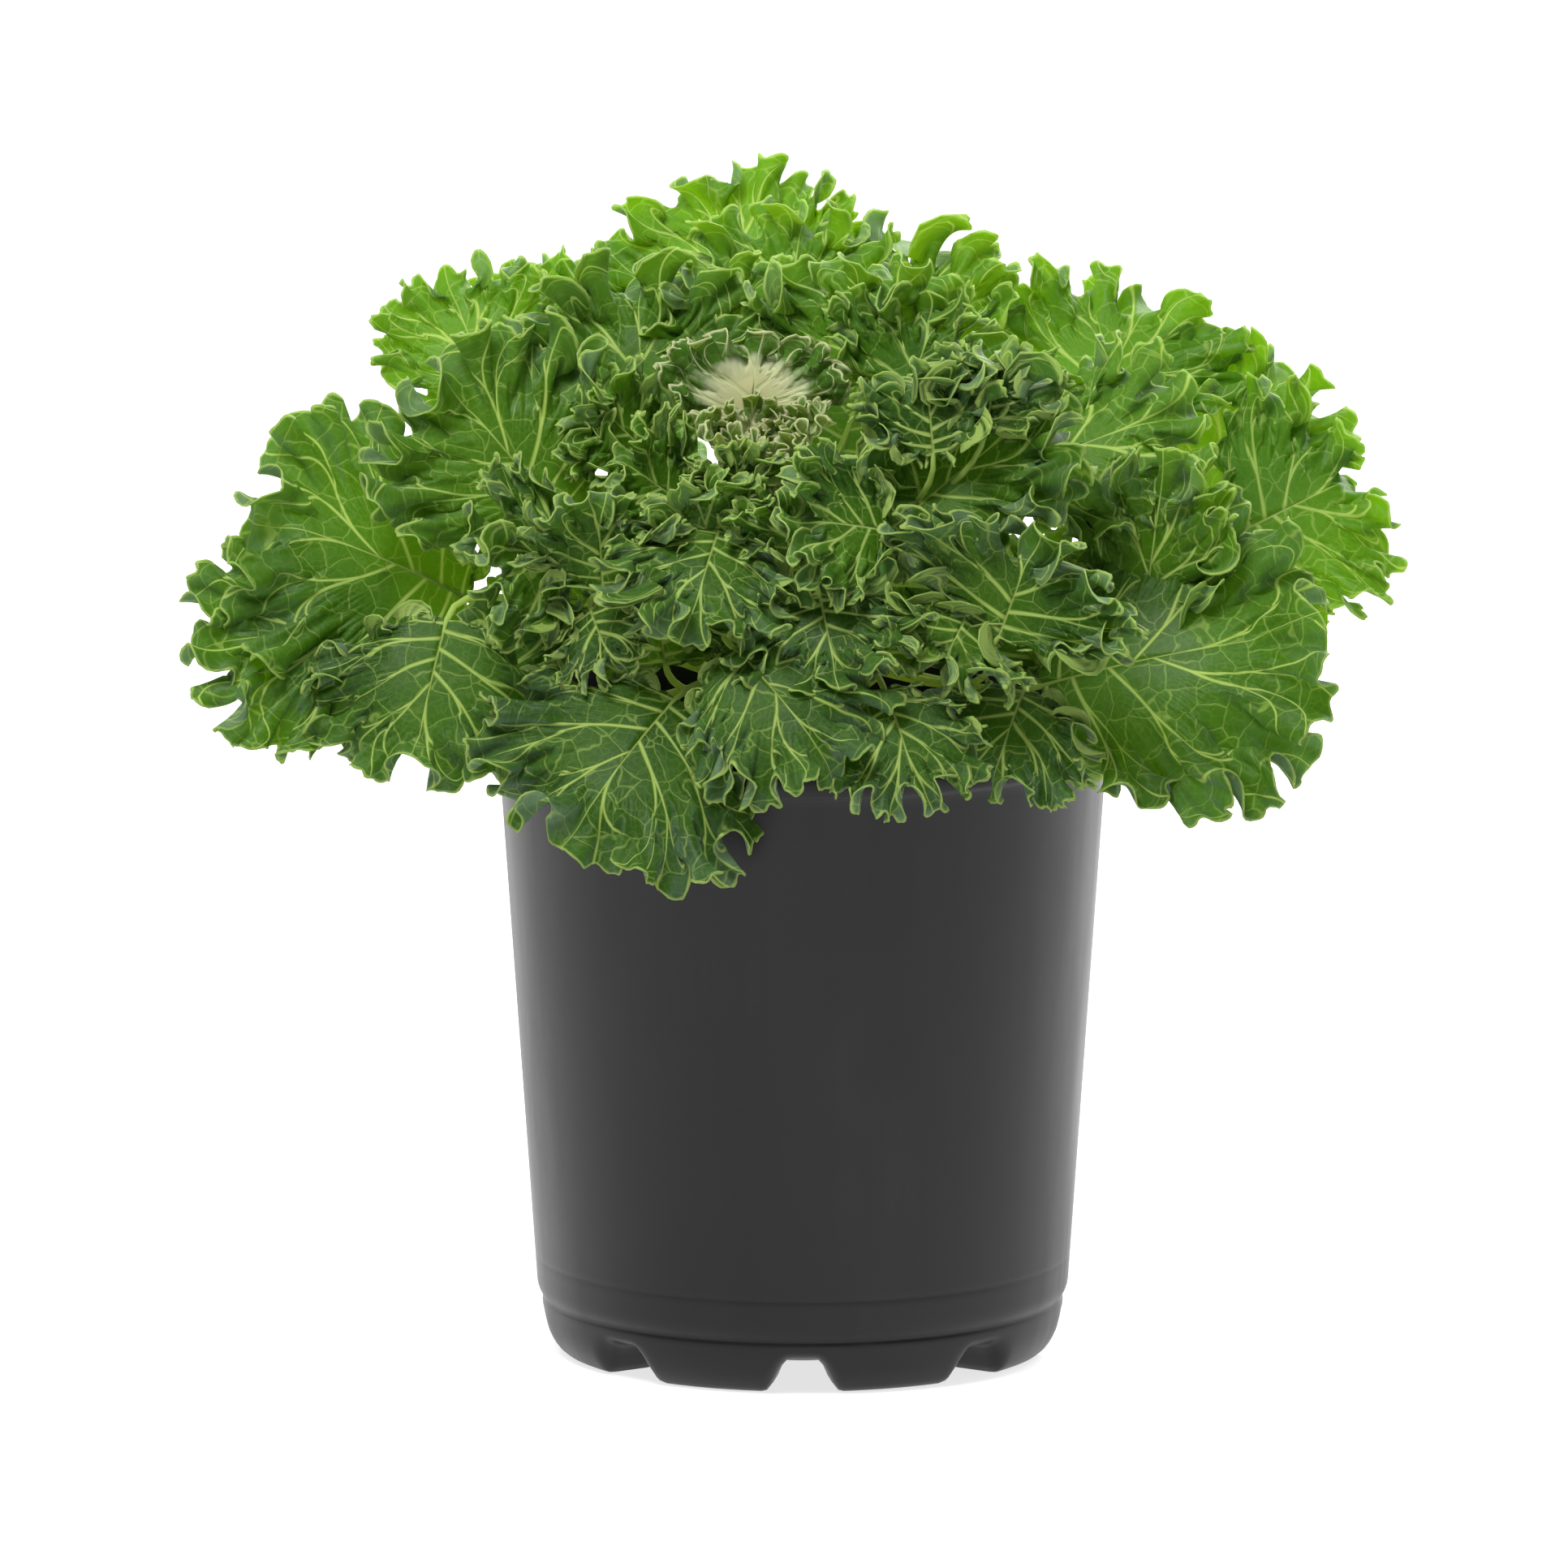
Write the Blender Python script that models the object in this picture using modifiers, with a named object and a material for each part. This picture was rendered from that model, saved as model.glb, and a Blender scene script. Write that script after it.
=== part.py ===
"""Ornamental kale growing in a black nursery pot, as a Blender model.

Units are metres and +Z is up. The origin is the centre of the circle that the pot's feet stand on, and the
plant leans towards the front, -Y. Every leaf lies on its own bowl round the stem: the bowls are nested and
never cross, so the leaves overlap one another without touching.
"""

import collections
import math

import bmesh
import bpy
from mathutils import Vector

# Driving dimensions of the pot
POT_HEIGHT = 0.218
RIM_RADIUS = 0.1016
RIM_BAND = 0.017
RIM_STEP = 0.0016
WALL = 0.0016
BASE_RADIUS = 0.0876
BELLY_HEIGHT = 0.026
STEP_HEIGHT = 0.018
STEP_DEPTH = 0.002
FOOT_HEIGHT = 0.011
FOOT_OUTER = 0.0765
FOOT_INNER = 0.060
PAD_RADIUS = 0.024
PAD_SLOPE = 0.005
FOOT_COUNT = 8
NOTCH_ROOF_WIDTH = 0.016
NOTCH_FLARE = 0.0115
DRAIN_RADIUS = 0.005
DRAIN_CIRCLE = 0.070
TURNING_STEPS = 56

# Driving dimensions of the potting mix and the stem
GAP = 0.0003
SOIL_TOP = 0.193
SOIL_MOUND = 0.003
STEM_FOOT = Vector((-0.006, 0.006, 0.160))
STEM_RADIUS = 0.0085
STEM_TIP_RADIUS = 0.0014
STEM_LENGTH = 0.099
CROWN_START = 0.066
LEAN_FRONT = math.radians(24)
LEAN_LEFT = math.radians(3)

# The bowls: a leaf's level runs from 0, the lowest, to 1 at the heart
LOWEST_LEAF = 0.022
HIGHEST_LEAF = 0.096
RISE_FRONT = math.radians(46)
RISE_SIDE = math.radians(12)
RISE_BACK = math.radians(6)
HIGHEST_RISE = math.radians(86)
RISE_POWER_FRONT = 1.8
RISE_POWER_SIDE = 1.4
RISE_POWER_BACK = 0.7
DROOP_FRONT = math.radians(185)
DROOP_SIDE = math.radians(50)
DROOP_BACK = math.radians(55)
DROOP_LENGTH = 0.200
DROOP_POWER = 2.0
BOWL_STEPS = 24

# The leaves' own proportions
BLADE_THICKNESS = 0.0008
BLADE_ROWS = 7
STALK_ROWS = 2
BLADE_COLUMNS = 6
TIP_ROUNDING = 0.20
LEAST_RADIUS_SHARE = 0.95

# Every leaf from the lowest to the heart: azimuth in degrees (0 right, 90 back, 180 left, 270 front),
# whole length, stalk length and blade width in millimetres
YELLOW_LEAVES = [
    (236, 84, 40, 30),
    (312, 76, 38, 26),
]
OUTER_LEAVES = [
    (92, 158, 78, 108),
    (52, 158, 76, 106),
    (130, 160, 78, 104),
    (244, 162, 74, 118),
    (18, 196, 82, 112),
    (165, 184, 84, 104),
    (293, 154, 80, 84),
    (75, 146, 74, 100),
    (211, 180, 82, 114),
    (346, 196, 82, 124),
    (126, 156, 76, 104),
    (269, 156, 80, 92),
    (47, 166, 78, 112),
    (186, 198, 80, 122),
    (318, 172, 78, 108),
    (99, 166, 78, 104),
    (229, 156, 74, 92),
    (10, 194, 82, 112),
    (149, 160, 76, 104),
]
MIDDLE_LEAVES = [
    (284, 140, 72, 84),
    (62, 144, 70, 96),
    (200, 148, 68, 90),
    (338, 162, 70, 96),
    (115, 130, 62, 88),
    (253, 130, 66, 86),
    (31, 148, 66, 98),
    (168, 146, 62, 100),
    (306, 130, 62, 84),
    (82, 124, 58, 86),
    (222, 126, 58, 80),
    (0, 138, 58, 90),
    (137, 120, 54, 86),
    (275, 104, 52, 70),
]
INNER_LEAVES = [
    (52, 110, 48, 80),
    (190, 104, 46, 66),
    (328, 100, 44, 66),
    (105, 102, 40, 80),
    (243, 82, 40, 56),
    (21, 90, 38, 60),
    (158, 82, 36, 56),
    (296, 68, 32, 48),
]
HEART_LEAVES = [
    (76, 70, 24, 58),
    (211, 56, 24, 40),
    (348, 52, 22, 38),
    (126, 48, 20, 34),
    (264, 42, 18, 28),
    (41, 38, 16, 24),
    (179, 33, 14, 20),
    (317, 28, 12, 16),
]

# The yellow leaves hang on below the lowest green one
YELLOW_LEVELS = (-0.09, -0.15)

# Colour, roughness and stalk thickness for each kind of leaf
LEAF_KINDS = {
    "yellow_leaf": ((0.62, 0.47, 0.06), 0.6, 0.0022),
    "outer_leaf": ((0.07, 0.19, 0.05), 0.45, 0.0048),
    "middle_leaf": ((0.10, 0.26, 0.05), 0.45, 0.0034),
    "inner_leaf": ((0.13, 0.32, 0.06), 0.45, 0.0022),
    "heart_leaf": ((0.66, 0.70, 0.38), 0.5, 0.0012),
}

Leaf = collections.namedtuple("Leaf", "azimuth length stalk width level thickness")


def clear_scene():
    for old in list(bpy.data.objects):
        bpy.data.objects.remove(old)


def new_collection(name):
    collection = bpy.data.collections.new(name)
    bpy.context.scene.collection.children.link(collection)
    return collection


def material(name, colour, roughness):
    made = bpy.data.materials.new(name)
    made.use_nodes = True
    shader = made.node_tree.nodes["Principled BSDF"]
    shader.inputs["Base Color"].default_value = (*colour, 1)
    shader.inputs["Roughness"].default_value = roughness
    shader.inputs["Metallic"].default_value = 0
    return made


def place(name, data, collection, surface=None):
    made = bpy.data.objects.new(name, data)
    collection.objects.link(made)
    if surface:
        data.materials.append(surface)
    return made


def adopt(name, collection):
    """Names the primitive just added and moves it to a collection."""
    made = bpy.context.object
    made.name = name
    for holder in list(made.users_collection):
        holder.objects.unlink(made)
    collection.objects.link(made)
    return made


def turned(name, profile, collection, surface):
    """A solid of revolution round Z, from a profile of (radius, height) that runs from axis to axis."""
    mesh = bpy.data.meshes.new(name)
    points = [(radius, 0, height) for radius, height in profile]
    edges = [(i, i + 1) for i in range(len(points) - 1)]
    mesh.from_pydata(points, edges, [])
    made = place(name, mesh, collection, surface)
    screw = made.modifiers.new("turn", "SCREW")
    screw.steps = TURNING_STEPS
    screw.render_steps = TURNING_STEPS
    screw.use_merge_vertices = True
    screw.merge_threshold = 0.00005
    return made


def cut(target, cutter):
    cutter.hide_render = True
    cutter.display_type = "WIRE"
    boolean = target.modifiers.new(cutter.name, "BOOLEAN")
    boolean.operation = "DIFFERENCE"
    boolean.object = cutter


def blend(low, high, share):
    return low + (high - low) * share


def wall_radius(height):
    """Outer radius of the pot's tapered wall."""
    top = POT_HEIGHT - RIM_BAND
    share = (height - BELLY_HEIGHT) / (top - BELLY_HEIGHT)
    return blend(BASE_RADIUS, RIM_RADIUS - RIM_STEP, share)


def pot_outside():
    """Outside of the pot as (radius, height), from the mouth down to the middle of the floor."""
    top = POT_HEIGHT - RIM_BAND
    band = BASE_RADIUS - STEP_DEPTH
    return [
        (0, POT_HEIGHT),
        (RIM_RADIUS - 0.0006, POT_HEIGHT),
        (RIM_RADIUS, POT_HEIGHT - 0.0008),
        (RIM_RADIUS, top + 0.001),
        (wall_radius(top), top),
        (BASE_RADIUS, BELLY_HEIGHT),
        (BASE_RADIUS - 0.0004, BELLY_HEIGHT - 0.005),
        (band + 0.0002, STEP_HEIGHT + 0.0006),
        (band, STEP_HEIGHT - 0.001),
        (band - 0.0005, 0.010),
        (band - 0.003, 0.004),
        (FOOT_OUTER + 0.003, 0.001),
        (FOOT_OUTER, 0),
        (FOOT_INNER + 0.001, 0),
        (FOOT_INNER, 0.001),
        (FOOT_INNER, FOOT_HEIGHT),
        (PAD_RADIUS + PAD_SLOPE, FOOT_HEIGHT),
        (PAD_RADIUS, 0),
        (0, 0),
    ]


def inner_wall_radius(height):
    """Inner radius of the pot above its belly."""
    return wall_radius(height) - WALL


def pot_inside(gap):
    """Inside of the pot below its wall, from the middle of the floor out, moved in by a gap."""
    band = BASE_RADIUS - STEP_DEPTH - WALL - gap
    floor = FOOT_HEIGHT + WALL + gap
    return [
        (0, floor),
        (band - 0.0005, floor),
        (band, STEP_HEIGHT - 0.001),
        (inner_wall_radius(BELLY_HEIGHT) - gap, BELLY_HEIGHT),
    ]


def notch_cutter(name, turn, cutters):
    """A wedge that cuts one gap between two feet, wider below the floor than at its roof."""
    bpy.ops.mesh.primitive_cube_add(size=2)
    notch = adopt(name, cutters)
    for vertex in notch.data.vertices:
        low = vertex.co.z < 0
        half = NOTCH_ROOF_WIDTH / 2 + (NOTCH_FLARE if low else 0)
        vertex.co.x = BASE_RADIUS + 0.008 if vertex.co.x > 0 else FOOT_INNER - 0.008
        vertex.co.y *= half
        vertex.co.z = -FOOT_HEIGHT / 2 if low else FOOT_HEIGHT - 0.0001
    notch.rotation_euler = (0, 0, turn)
    return notch


def drain_cutter(name, turn, cutters):
    """A cylinder that cuts one drain hole in the floor, over a gap between two feet."""
    bpy.ops.mesh.primitive_cylinder_add(vertices=12, radius=DRAIN_RADIUS, depth=0.02)
    drain = adopt(name, cutters)
    drain.location = (DRAIN_CIRCLE * math.cos(turn), DRAIN_CIRCLE * math.sin(turn), FOOT_HEIGHT)
    return drain


def build_pot(collection, cutters, surface):
    """The blow-moulded pot: rim band, tapered wall, stepped base and eight feet with drain holes between."""
    pot = turned("nursery_pot", pot_outside(), collection, surface)
    over = POT_HEIGHT + 0.01
    mouth = [(0, over), (inner_wall_radius(over), over)]
    cut(pot, turned("pot_hollow", mouth + pot_inside(0)[::-1], cutters, None))
    for number in range(FOOT_COUNT):
        turn = math.tau * number / FOOT_COUNT - math.pi / 2
        cut(pot, notch_cutter("foot_notch_%d" % (number + 1), turn, cutters))
        cut(pot, drain_cutter("drain_cutter_%d" % (number + 1), turn, cutters))


def build_soil(collection, cutters, surface):
    """Potting mix that fills the pot to a little under its rim, with the hole that the stem grows in."""
    profile = [
        (0, SOIL_TOP + SOIL_MOUND),
        (0.035, SOIL_TOP + SOIL_MOUND),
        (0.070, SOIL_TOP + SOIL_MOUND / 2),
        (inner_wall_radius(SOIL_TOP) - GAP, SOIL_TOP),
    ]
    soil = turned("potting_mix", profile + pot_inside(GAP)[::-1], collection, surface)
    depth = 0.06
    bpy.ops.mesh.primitive_cylinder_add(vertices=24, radius=STEM_RADIUS + 2 * GAP, depth=depth)
    socket = adopt("stem_socket", cutters)
    socket.location = STEM_FOOT + Vector((0, 0, depth / 2 - GAP))
    cut(soil, socket)


def stem_axis():
    """Unit direction of the leaning stem."""
    return Vector((-math.tan(LEAN_LEFT), -math.tan(LEAN_FRONT), 1)).normalized()


def stem_base():
    """Where the stem leaves the potting mix and begins to lean."""
    return Vector((STEM_FOOT.x, STEM_FOOT.y, SOIL_TOP + SOIL_MOUND))


def stem_radius(height):
    """Radius of the stem at a height along it, narrowing to the crown."""
    if height <= CROWN_START:
        return STEM_RADIUS * (1 - 0.12 * height / CROWN_START)
    share = (height - CROWN_START) / (STEM_LENGTH - CROWN_START)
    return blend(STEM_RADIUS * 0.88, STEM_TIP_RADIUS, share**1.3)


def build_stem(collection, surface):
    curve = bpy.data.curves.new("stem", "CURVE")
    curve.dimensions = "3D"
    curve.bevel_depth = 1
    curve.bevel_resolution = 4
    curve.use_fill_caps = True
    spline = curve.splines.new("POLY")
    heights = [STEM_LENGTH * share for share in (0.06, 0.2, 0.4, 0.6, 0.7, 0.8, 0.9, 1)]
    places = [(STEM_FOOT, STEM_RADIUS), (stem_base(), STEM_RADIUS)]
    places += [(stem_base() + stem_axis() * height, stem_radius(height)) for height in heights]
    spline.points.add(len(places) - 1)
    for point, (where, radius) in zip(spline.points, places):
        point.co = (*where, 1)
        point.radius = radius
    return place("stem", curve, collection, surface)


def rosette_frame():
    """Right, back and up directions of the leaning plant."""
    up = stem_axis()
    right = (Vector((1, 0, 0)) - up * up.x).normalized()
    return right, up.cross(right), up


def around(front, side, back, azimuth):
    """A value for this azimuth, between those for the front, the sides and the back of the plant."""
    depth = math.sin(azimuth)
    return blend(side, back if depth > 0 else front, depth * depth)


def rise(level, azimuth):
    """The angle at which a leaf of this level and azimuth leaves the stem."""
    lowest = around(RISE_FRONT, RISE_SIDE, RISE_BACK, azimuth)
    power = around(RISE_POWER_FRONT, RISE_POWER_SIDE, RISE_POWER_BACK, azimuth)
    return blend(lowest, HIGHEST_RISE, max(level, 0) ** power)


def droop(level, azimuth):
    """How far a leaf of this level and azimuth turns down over DROOP_LENGTH."""
    whole = around(DROOP_FRONT, DROOP_SIDE, DROOP_BACK, azimuth)
    return whole * (1 - max(level, 0)) ** 1.2


def attachment(level):
    """Height along the stem at which a leaf of this level grows."""
    return blend(LOWEST_LEAF, HIGHEST_LEAF, level)


def bowl_point(leaf, azimuth, along):
    """(distance from the stem's axis, height along it) at a length along the leaf's bowl, from the stem."""
    first = rise(leaf.level, azimuth)
    turn = droop(leaf.level, azimuth)
    up = attachment(leaf.level)
    out = stem_radius(up) + GAP + 0.0004 + 0.5 * leaf.thickness * math.sin(rise(leaf.level, leaf.azimuth))
    step = along / BOWL_STEPS
    for number in range(BOWL_STEPS):
        gone = (number + 0.5) * step
        angle = first - turn * (gone / DROOP_LENGTH) ** DROOP_POWER
        out += step * math.cos(angle)
        up += step * math.sin(angle)
    return out, up


def blade_half_width(share):
    """Half width of the blade, as a share of its largest, from its foot at 0 to its tip at 1."""
    return math.sin(math.pi * (0.08 + 0.80 * share**0.8)) ** 0.75


def leaf_section(leaf, row, side):
    """(length along the leaf, half width there, thickness weight) at a row and side of the grid."""
    if row <= STALK_ROWS:
        share = row / STALK_ROWS
        return leaf.stalk * share, leaf.thickness * blend(0.62, 0.8, share), 1 - 0.35 * share
    share = (row - STALK_ROWS) / BLADE_ROWS
    along = leaf.stalk + (leaf.length - leaf.stalk) * (share - TIP_ROUNDING * share**2 * side**2)
    half = max(leaf.thickness * 0.8, leaf.width / 2 * blade_half_width(share))
    return along, half, 0.65 * (1 - share) * (1 - abs(side)) ** 2


def leaf_point(leaf, along, across):
    """The point of the leaf's bowl at a length from the stem and a distance across from its midrib."""
    right, back, up = rosette_frame()
    radius = max(bowl_point(leaf, leaf.azimuth, along)[0], abs(across) * LEAST_RADIUS_SHARE)
    azimuth = leaf.azimuth + across / radius
    out, height = bowl_point(leaf, azimuth, along)
    outward = right * math.cos(azimuth) + back * math.sin(azimuth)
    return stem_base() + outward * out + up * height


def build_leaf(name, leaf, collection, surface):
    """One leaf: a grid laid on its bowl, thick along the stalk and thin across the blade."""
    rows = STALK_ROWS + BLADE_ROWS
    mesh = bpy.data.meshes.new(name)
    grid = bmesh.new()
    bmesh.ops.create_grid(grid, x_segments=rows, y_segments=BLADE_COLUMNS, size=1)
    weights = []
    for vertex in grid.verts:
        row = round((vertex.co.x + 1) / 2 * rows)
        side = vertex.co.y
        along, half, weight = leaf_section(leaf, row, side)
        vertex.co = leaf_point(leaf, along, side * half)
        weights.append(weight)
    grid.to_mesh(mesh)
    grid.free()
    mesh.shade_smooth()
    made = place(name, mesh, collection, surface)
    group = made.vertex_groups.new(name="stalk")
    for index, weight in enumerate(weights):
        group.add([index], weight, "REPLACE")
    solid = made.modifiers.new("thickness", "SOLIDIFY")
    solid.thickness = leaf.thickness
    solid.offset = 0
    solid.vertex_group = group.name
    solid.thickness_vertex_group = BLADE_THICKNESS / leaf.thickness


def build_kind(kind, rows, levels, collection):
    """All the leaves of one kind, each at its own level."""
    colour, roughness, thickness = LEAF_KINDS[kind]
    surface = material(kind, colour, roughness)
    for number, (row, level) in enumerate(zip(rows, levels)):
        azimuth, length, stalk, width = row
        leaf = Leaf(math.radians(azimuth), length / 1000, stalk / 1000, width / 1000, level, thickness)
        build_leaf("%s_%02d" % (kind, number + 1), leaf, collection, surface)


def build_leaves(collection):
    kinds = {
        "outer_leaf": OUTER_LEAVES,
        "middle_leaf": MIDDLE_LEAVES,
        "inner_leaf": INNER_LEAVES,
        "heart_leaf": HEART_LEAVES,
    }
    last = sum(len(rows) for rows in kinds.values()) - 1
    below = 0
    for kind, rows in kinds.items():
        build_kind(kind, rows, [(below + number) / last for number in range(len(rows))], collection)
        below += len(rows)
    build_kind("yellow_leaf", YELLOW_LEAVES, YELLOW_LEVELS, collection)


def main():
    clear_scene()
    parts = new_collection("potted_kale")
    cutters = new_collection("cutters")
    build_pot(parts, cutters, material("nursery_pot", (0.03, 0.03, 0.032), 0.42))
    build_soil(parts, cutters, material("potting_mix", (0.045, 0.028, 0.018), 0.95))
    build_stem(parts, material("stem", (0.36, 0.42, 0.16), 0.6))
    build_leaves(parts)


main()
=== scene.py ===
"""Looks of the potted ornamental kale: leaves grown as ruffled sheets, pot, potting mix, stem, stage and light.

Units are metres and +Z is up. The camera looks along +Y, so the front of the plant is -Y.
"""

import math

import bpy
import numpy as np
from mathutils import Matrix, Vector, noise


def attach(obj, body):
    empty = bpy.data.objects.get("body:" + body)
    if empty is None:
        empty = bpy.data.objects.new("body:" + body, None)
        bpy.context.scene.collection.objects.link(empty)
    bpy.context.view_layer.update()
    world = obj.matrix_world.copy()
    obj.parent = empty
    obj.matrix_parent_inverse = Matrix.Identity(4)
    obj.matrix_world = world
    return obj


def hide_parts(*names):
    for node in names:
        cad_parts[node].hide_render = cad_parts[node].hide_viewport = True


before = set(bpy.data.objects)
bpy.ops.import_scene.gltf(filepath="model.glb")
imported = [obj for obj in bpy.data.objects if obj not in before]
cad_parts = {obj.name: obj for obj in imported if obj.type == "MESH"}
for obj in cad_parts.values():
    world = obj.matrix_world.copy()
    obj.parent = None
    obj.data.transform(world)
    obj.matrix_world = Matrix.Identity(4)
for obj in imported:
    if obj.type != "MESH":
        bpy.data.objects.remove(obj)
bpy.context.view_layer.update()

# Camera
CAMERA_TARGET = Vector((0, 0, 0.190))
CAMERA_DISTANCE = 12.0
CAMERA_ELEVATION = math.radians(10.3)
VIEW_WIDTH = 0.51526
SENSOR_WIDTH = 36.0
CAMERA_SHIFT = (-0.0119, -0.0031)

# Pot, potting mix and stem, as in the CAD model
RIM_RADIUS = 0.1016
POT_HEIGHT = 0.218
RIM_BAND = 0.017
RIM_STEP = 0.0016
WALL = 0.0016
BASE_RADIUS = 0.0876
BELLY_HEIGHT = 0.026
STEP_HEIGHT = 0.018
STEP_DEPTH = 0.002
FOOT_HEIGHT = 0.011
FOOT_OUTER = 0.0765
FOOT_INNER = 0.060
FOOT_COUNT = 8
PAD_RADIUS = 0.024
PAD_SLOPE = 0.005
NOTCH_HALF_WIDTHS = (0.005, 0.0145)
NOTCH_TOP = 0.0155
DRAIN_RADIUS = 0.005
DRAIN_CIRCLE = 0.070
POT_SEGMENTS = 288
SOIL_GAP = 0.0003
CRUMBS = 900
SOIL_TOP = 0.193
SOIL_MOUND = 0.003
STEM_FOOT = np.array((-0.006, 0.006, 0.160))
STEM_RADIUS = 0.0085
STEM_TIP_RADIUS = 0.0014
STEM_LENGTH = 0.099
CROWN_START = 0.066
LEAN_FRONT = math.radians(24)
LEAN_LEFT = math.radians(3)

# The nested bowls that the leaves lie on, as in the CAD model
GAP = 0.0003
LOWEST_LEAF = 0.022
HIGHEST_LEAF = 0.096
RISE = (math.radians(46), math.radians(12), math.radians(6))
RISE_POWER = (1.8, 1.4, 0.7)
HIGHEST_RISE = math.radians(86)
DROOP = (math.radians(185), math.radians(50), math.radians(55))
DROOP_LENGTH = 0.200
BOWL_STEPS = 24
LEAST_RADIUS_SHARE = 0.95

# Leaves from the lowest to the heart: azimuth in degrees, length, stalk and width in millimetres
YELLOW_LEAVES = [
    (236, 84, 40, 30),
    (312, 76, 38, 26),
]
OUTER_LEAVES = [
    (92, 158, 78, 108),
    (52, 158, 76, 106),
    (130, 160, 78, 104),
    (244, 162, 74, 118),
    (18, 196, 82, 112),
    (165, 184, 84, 104),
    (293, 154, 80, 84),
    (75, 146, 74, 100),
    (211, 180, 82, 114),
    (346, 196, 82, 124),
    (126, 156, 76, 104),
    (269, 156, 80, 92),
    (47, 166, 78, 112),
    (186, 198, 80, 122),
    (318, 172, 78, 108),
    (99, 166, 78, 104),
    (229, 156, 74, 92),
    (10, 194, 82, 112),
    (149, 160, 76, 104),
]
MIDDLE_LEAVES = [
    (284, 140, 72, 84),
    (62, 144, 70, 96),
    (200, 148, 68, 90),
    (338, 162, 70, 96),
    (115, 130, 62, 88),
    (253, 130, 66, 86),
    (31, 148, 66, 98),
    (168, 146, 62, 100),
    (306, 130, 62, 84),
    (82, 124, 58, 86),
    (222, 126, 58, 80),
    (0, 138, 58, 90),
    (137, 120, 54, 86),
    (275, 104, 52, 70),
]
INNER_LEAVES = [
    (52, 110, 48, 80),
    (190, 104, 46, 66),
    (328, 100, 44, 66),
    (105, 102, 40, 80),
    (243, 82, 40, 56),
    (21, 90, 38, 60),
    (158, 82, 36, 56),
    (296, 68, 32, 48),
]
HEART_LEAVES = [
    (76, 70, 24, 58),
    (211, 56, 24, 40),
    (348, 52, 22, 38),
    (126, 48, 20, 34),
    (264, 42, 18, 28),
    (41, 38, 16, 24),
    (179, 33, 14, 20),
    (317, 28, 12, 16),
]
YELLOW_LEVELS = (-0.09, -0.15)
KINDS = {
    "outer_leaf": OUTER_LEAVES,
    "middle_leaf": MIDDLE_LEAVES,
    "inner_leaf": INNER_LEAVES,
    "heart_leaf": HEART_LEAVES,
}

# Per kind: growth of the margin, power of its onset, stalk thickness, lobes round the margin, their depth in
# metres, and the share of the way to the margin that keeps its shape
HABIT = {
    "yellow_leaf": (0.3, 3.0, 0.0022, 9, 0.003, 0.50),
    "outer_leaf": (1.30, 4.0, 0.0036, 15, 0.0075, 0.60),
    "middle_leaf": (1.90, 3.2, 0.0028, 17, 0.0085, 0.45),
    "inner_leaf": (2.10, 3.0, 0.0019, 19, 0.0070, 0.40),
    "heart_leaf": (1.90, 3.0, 0.0010, 20, 0.0030, 0.45),
}

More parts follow.
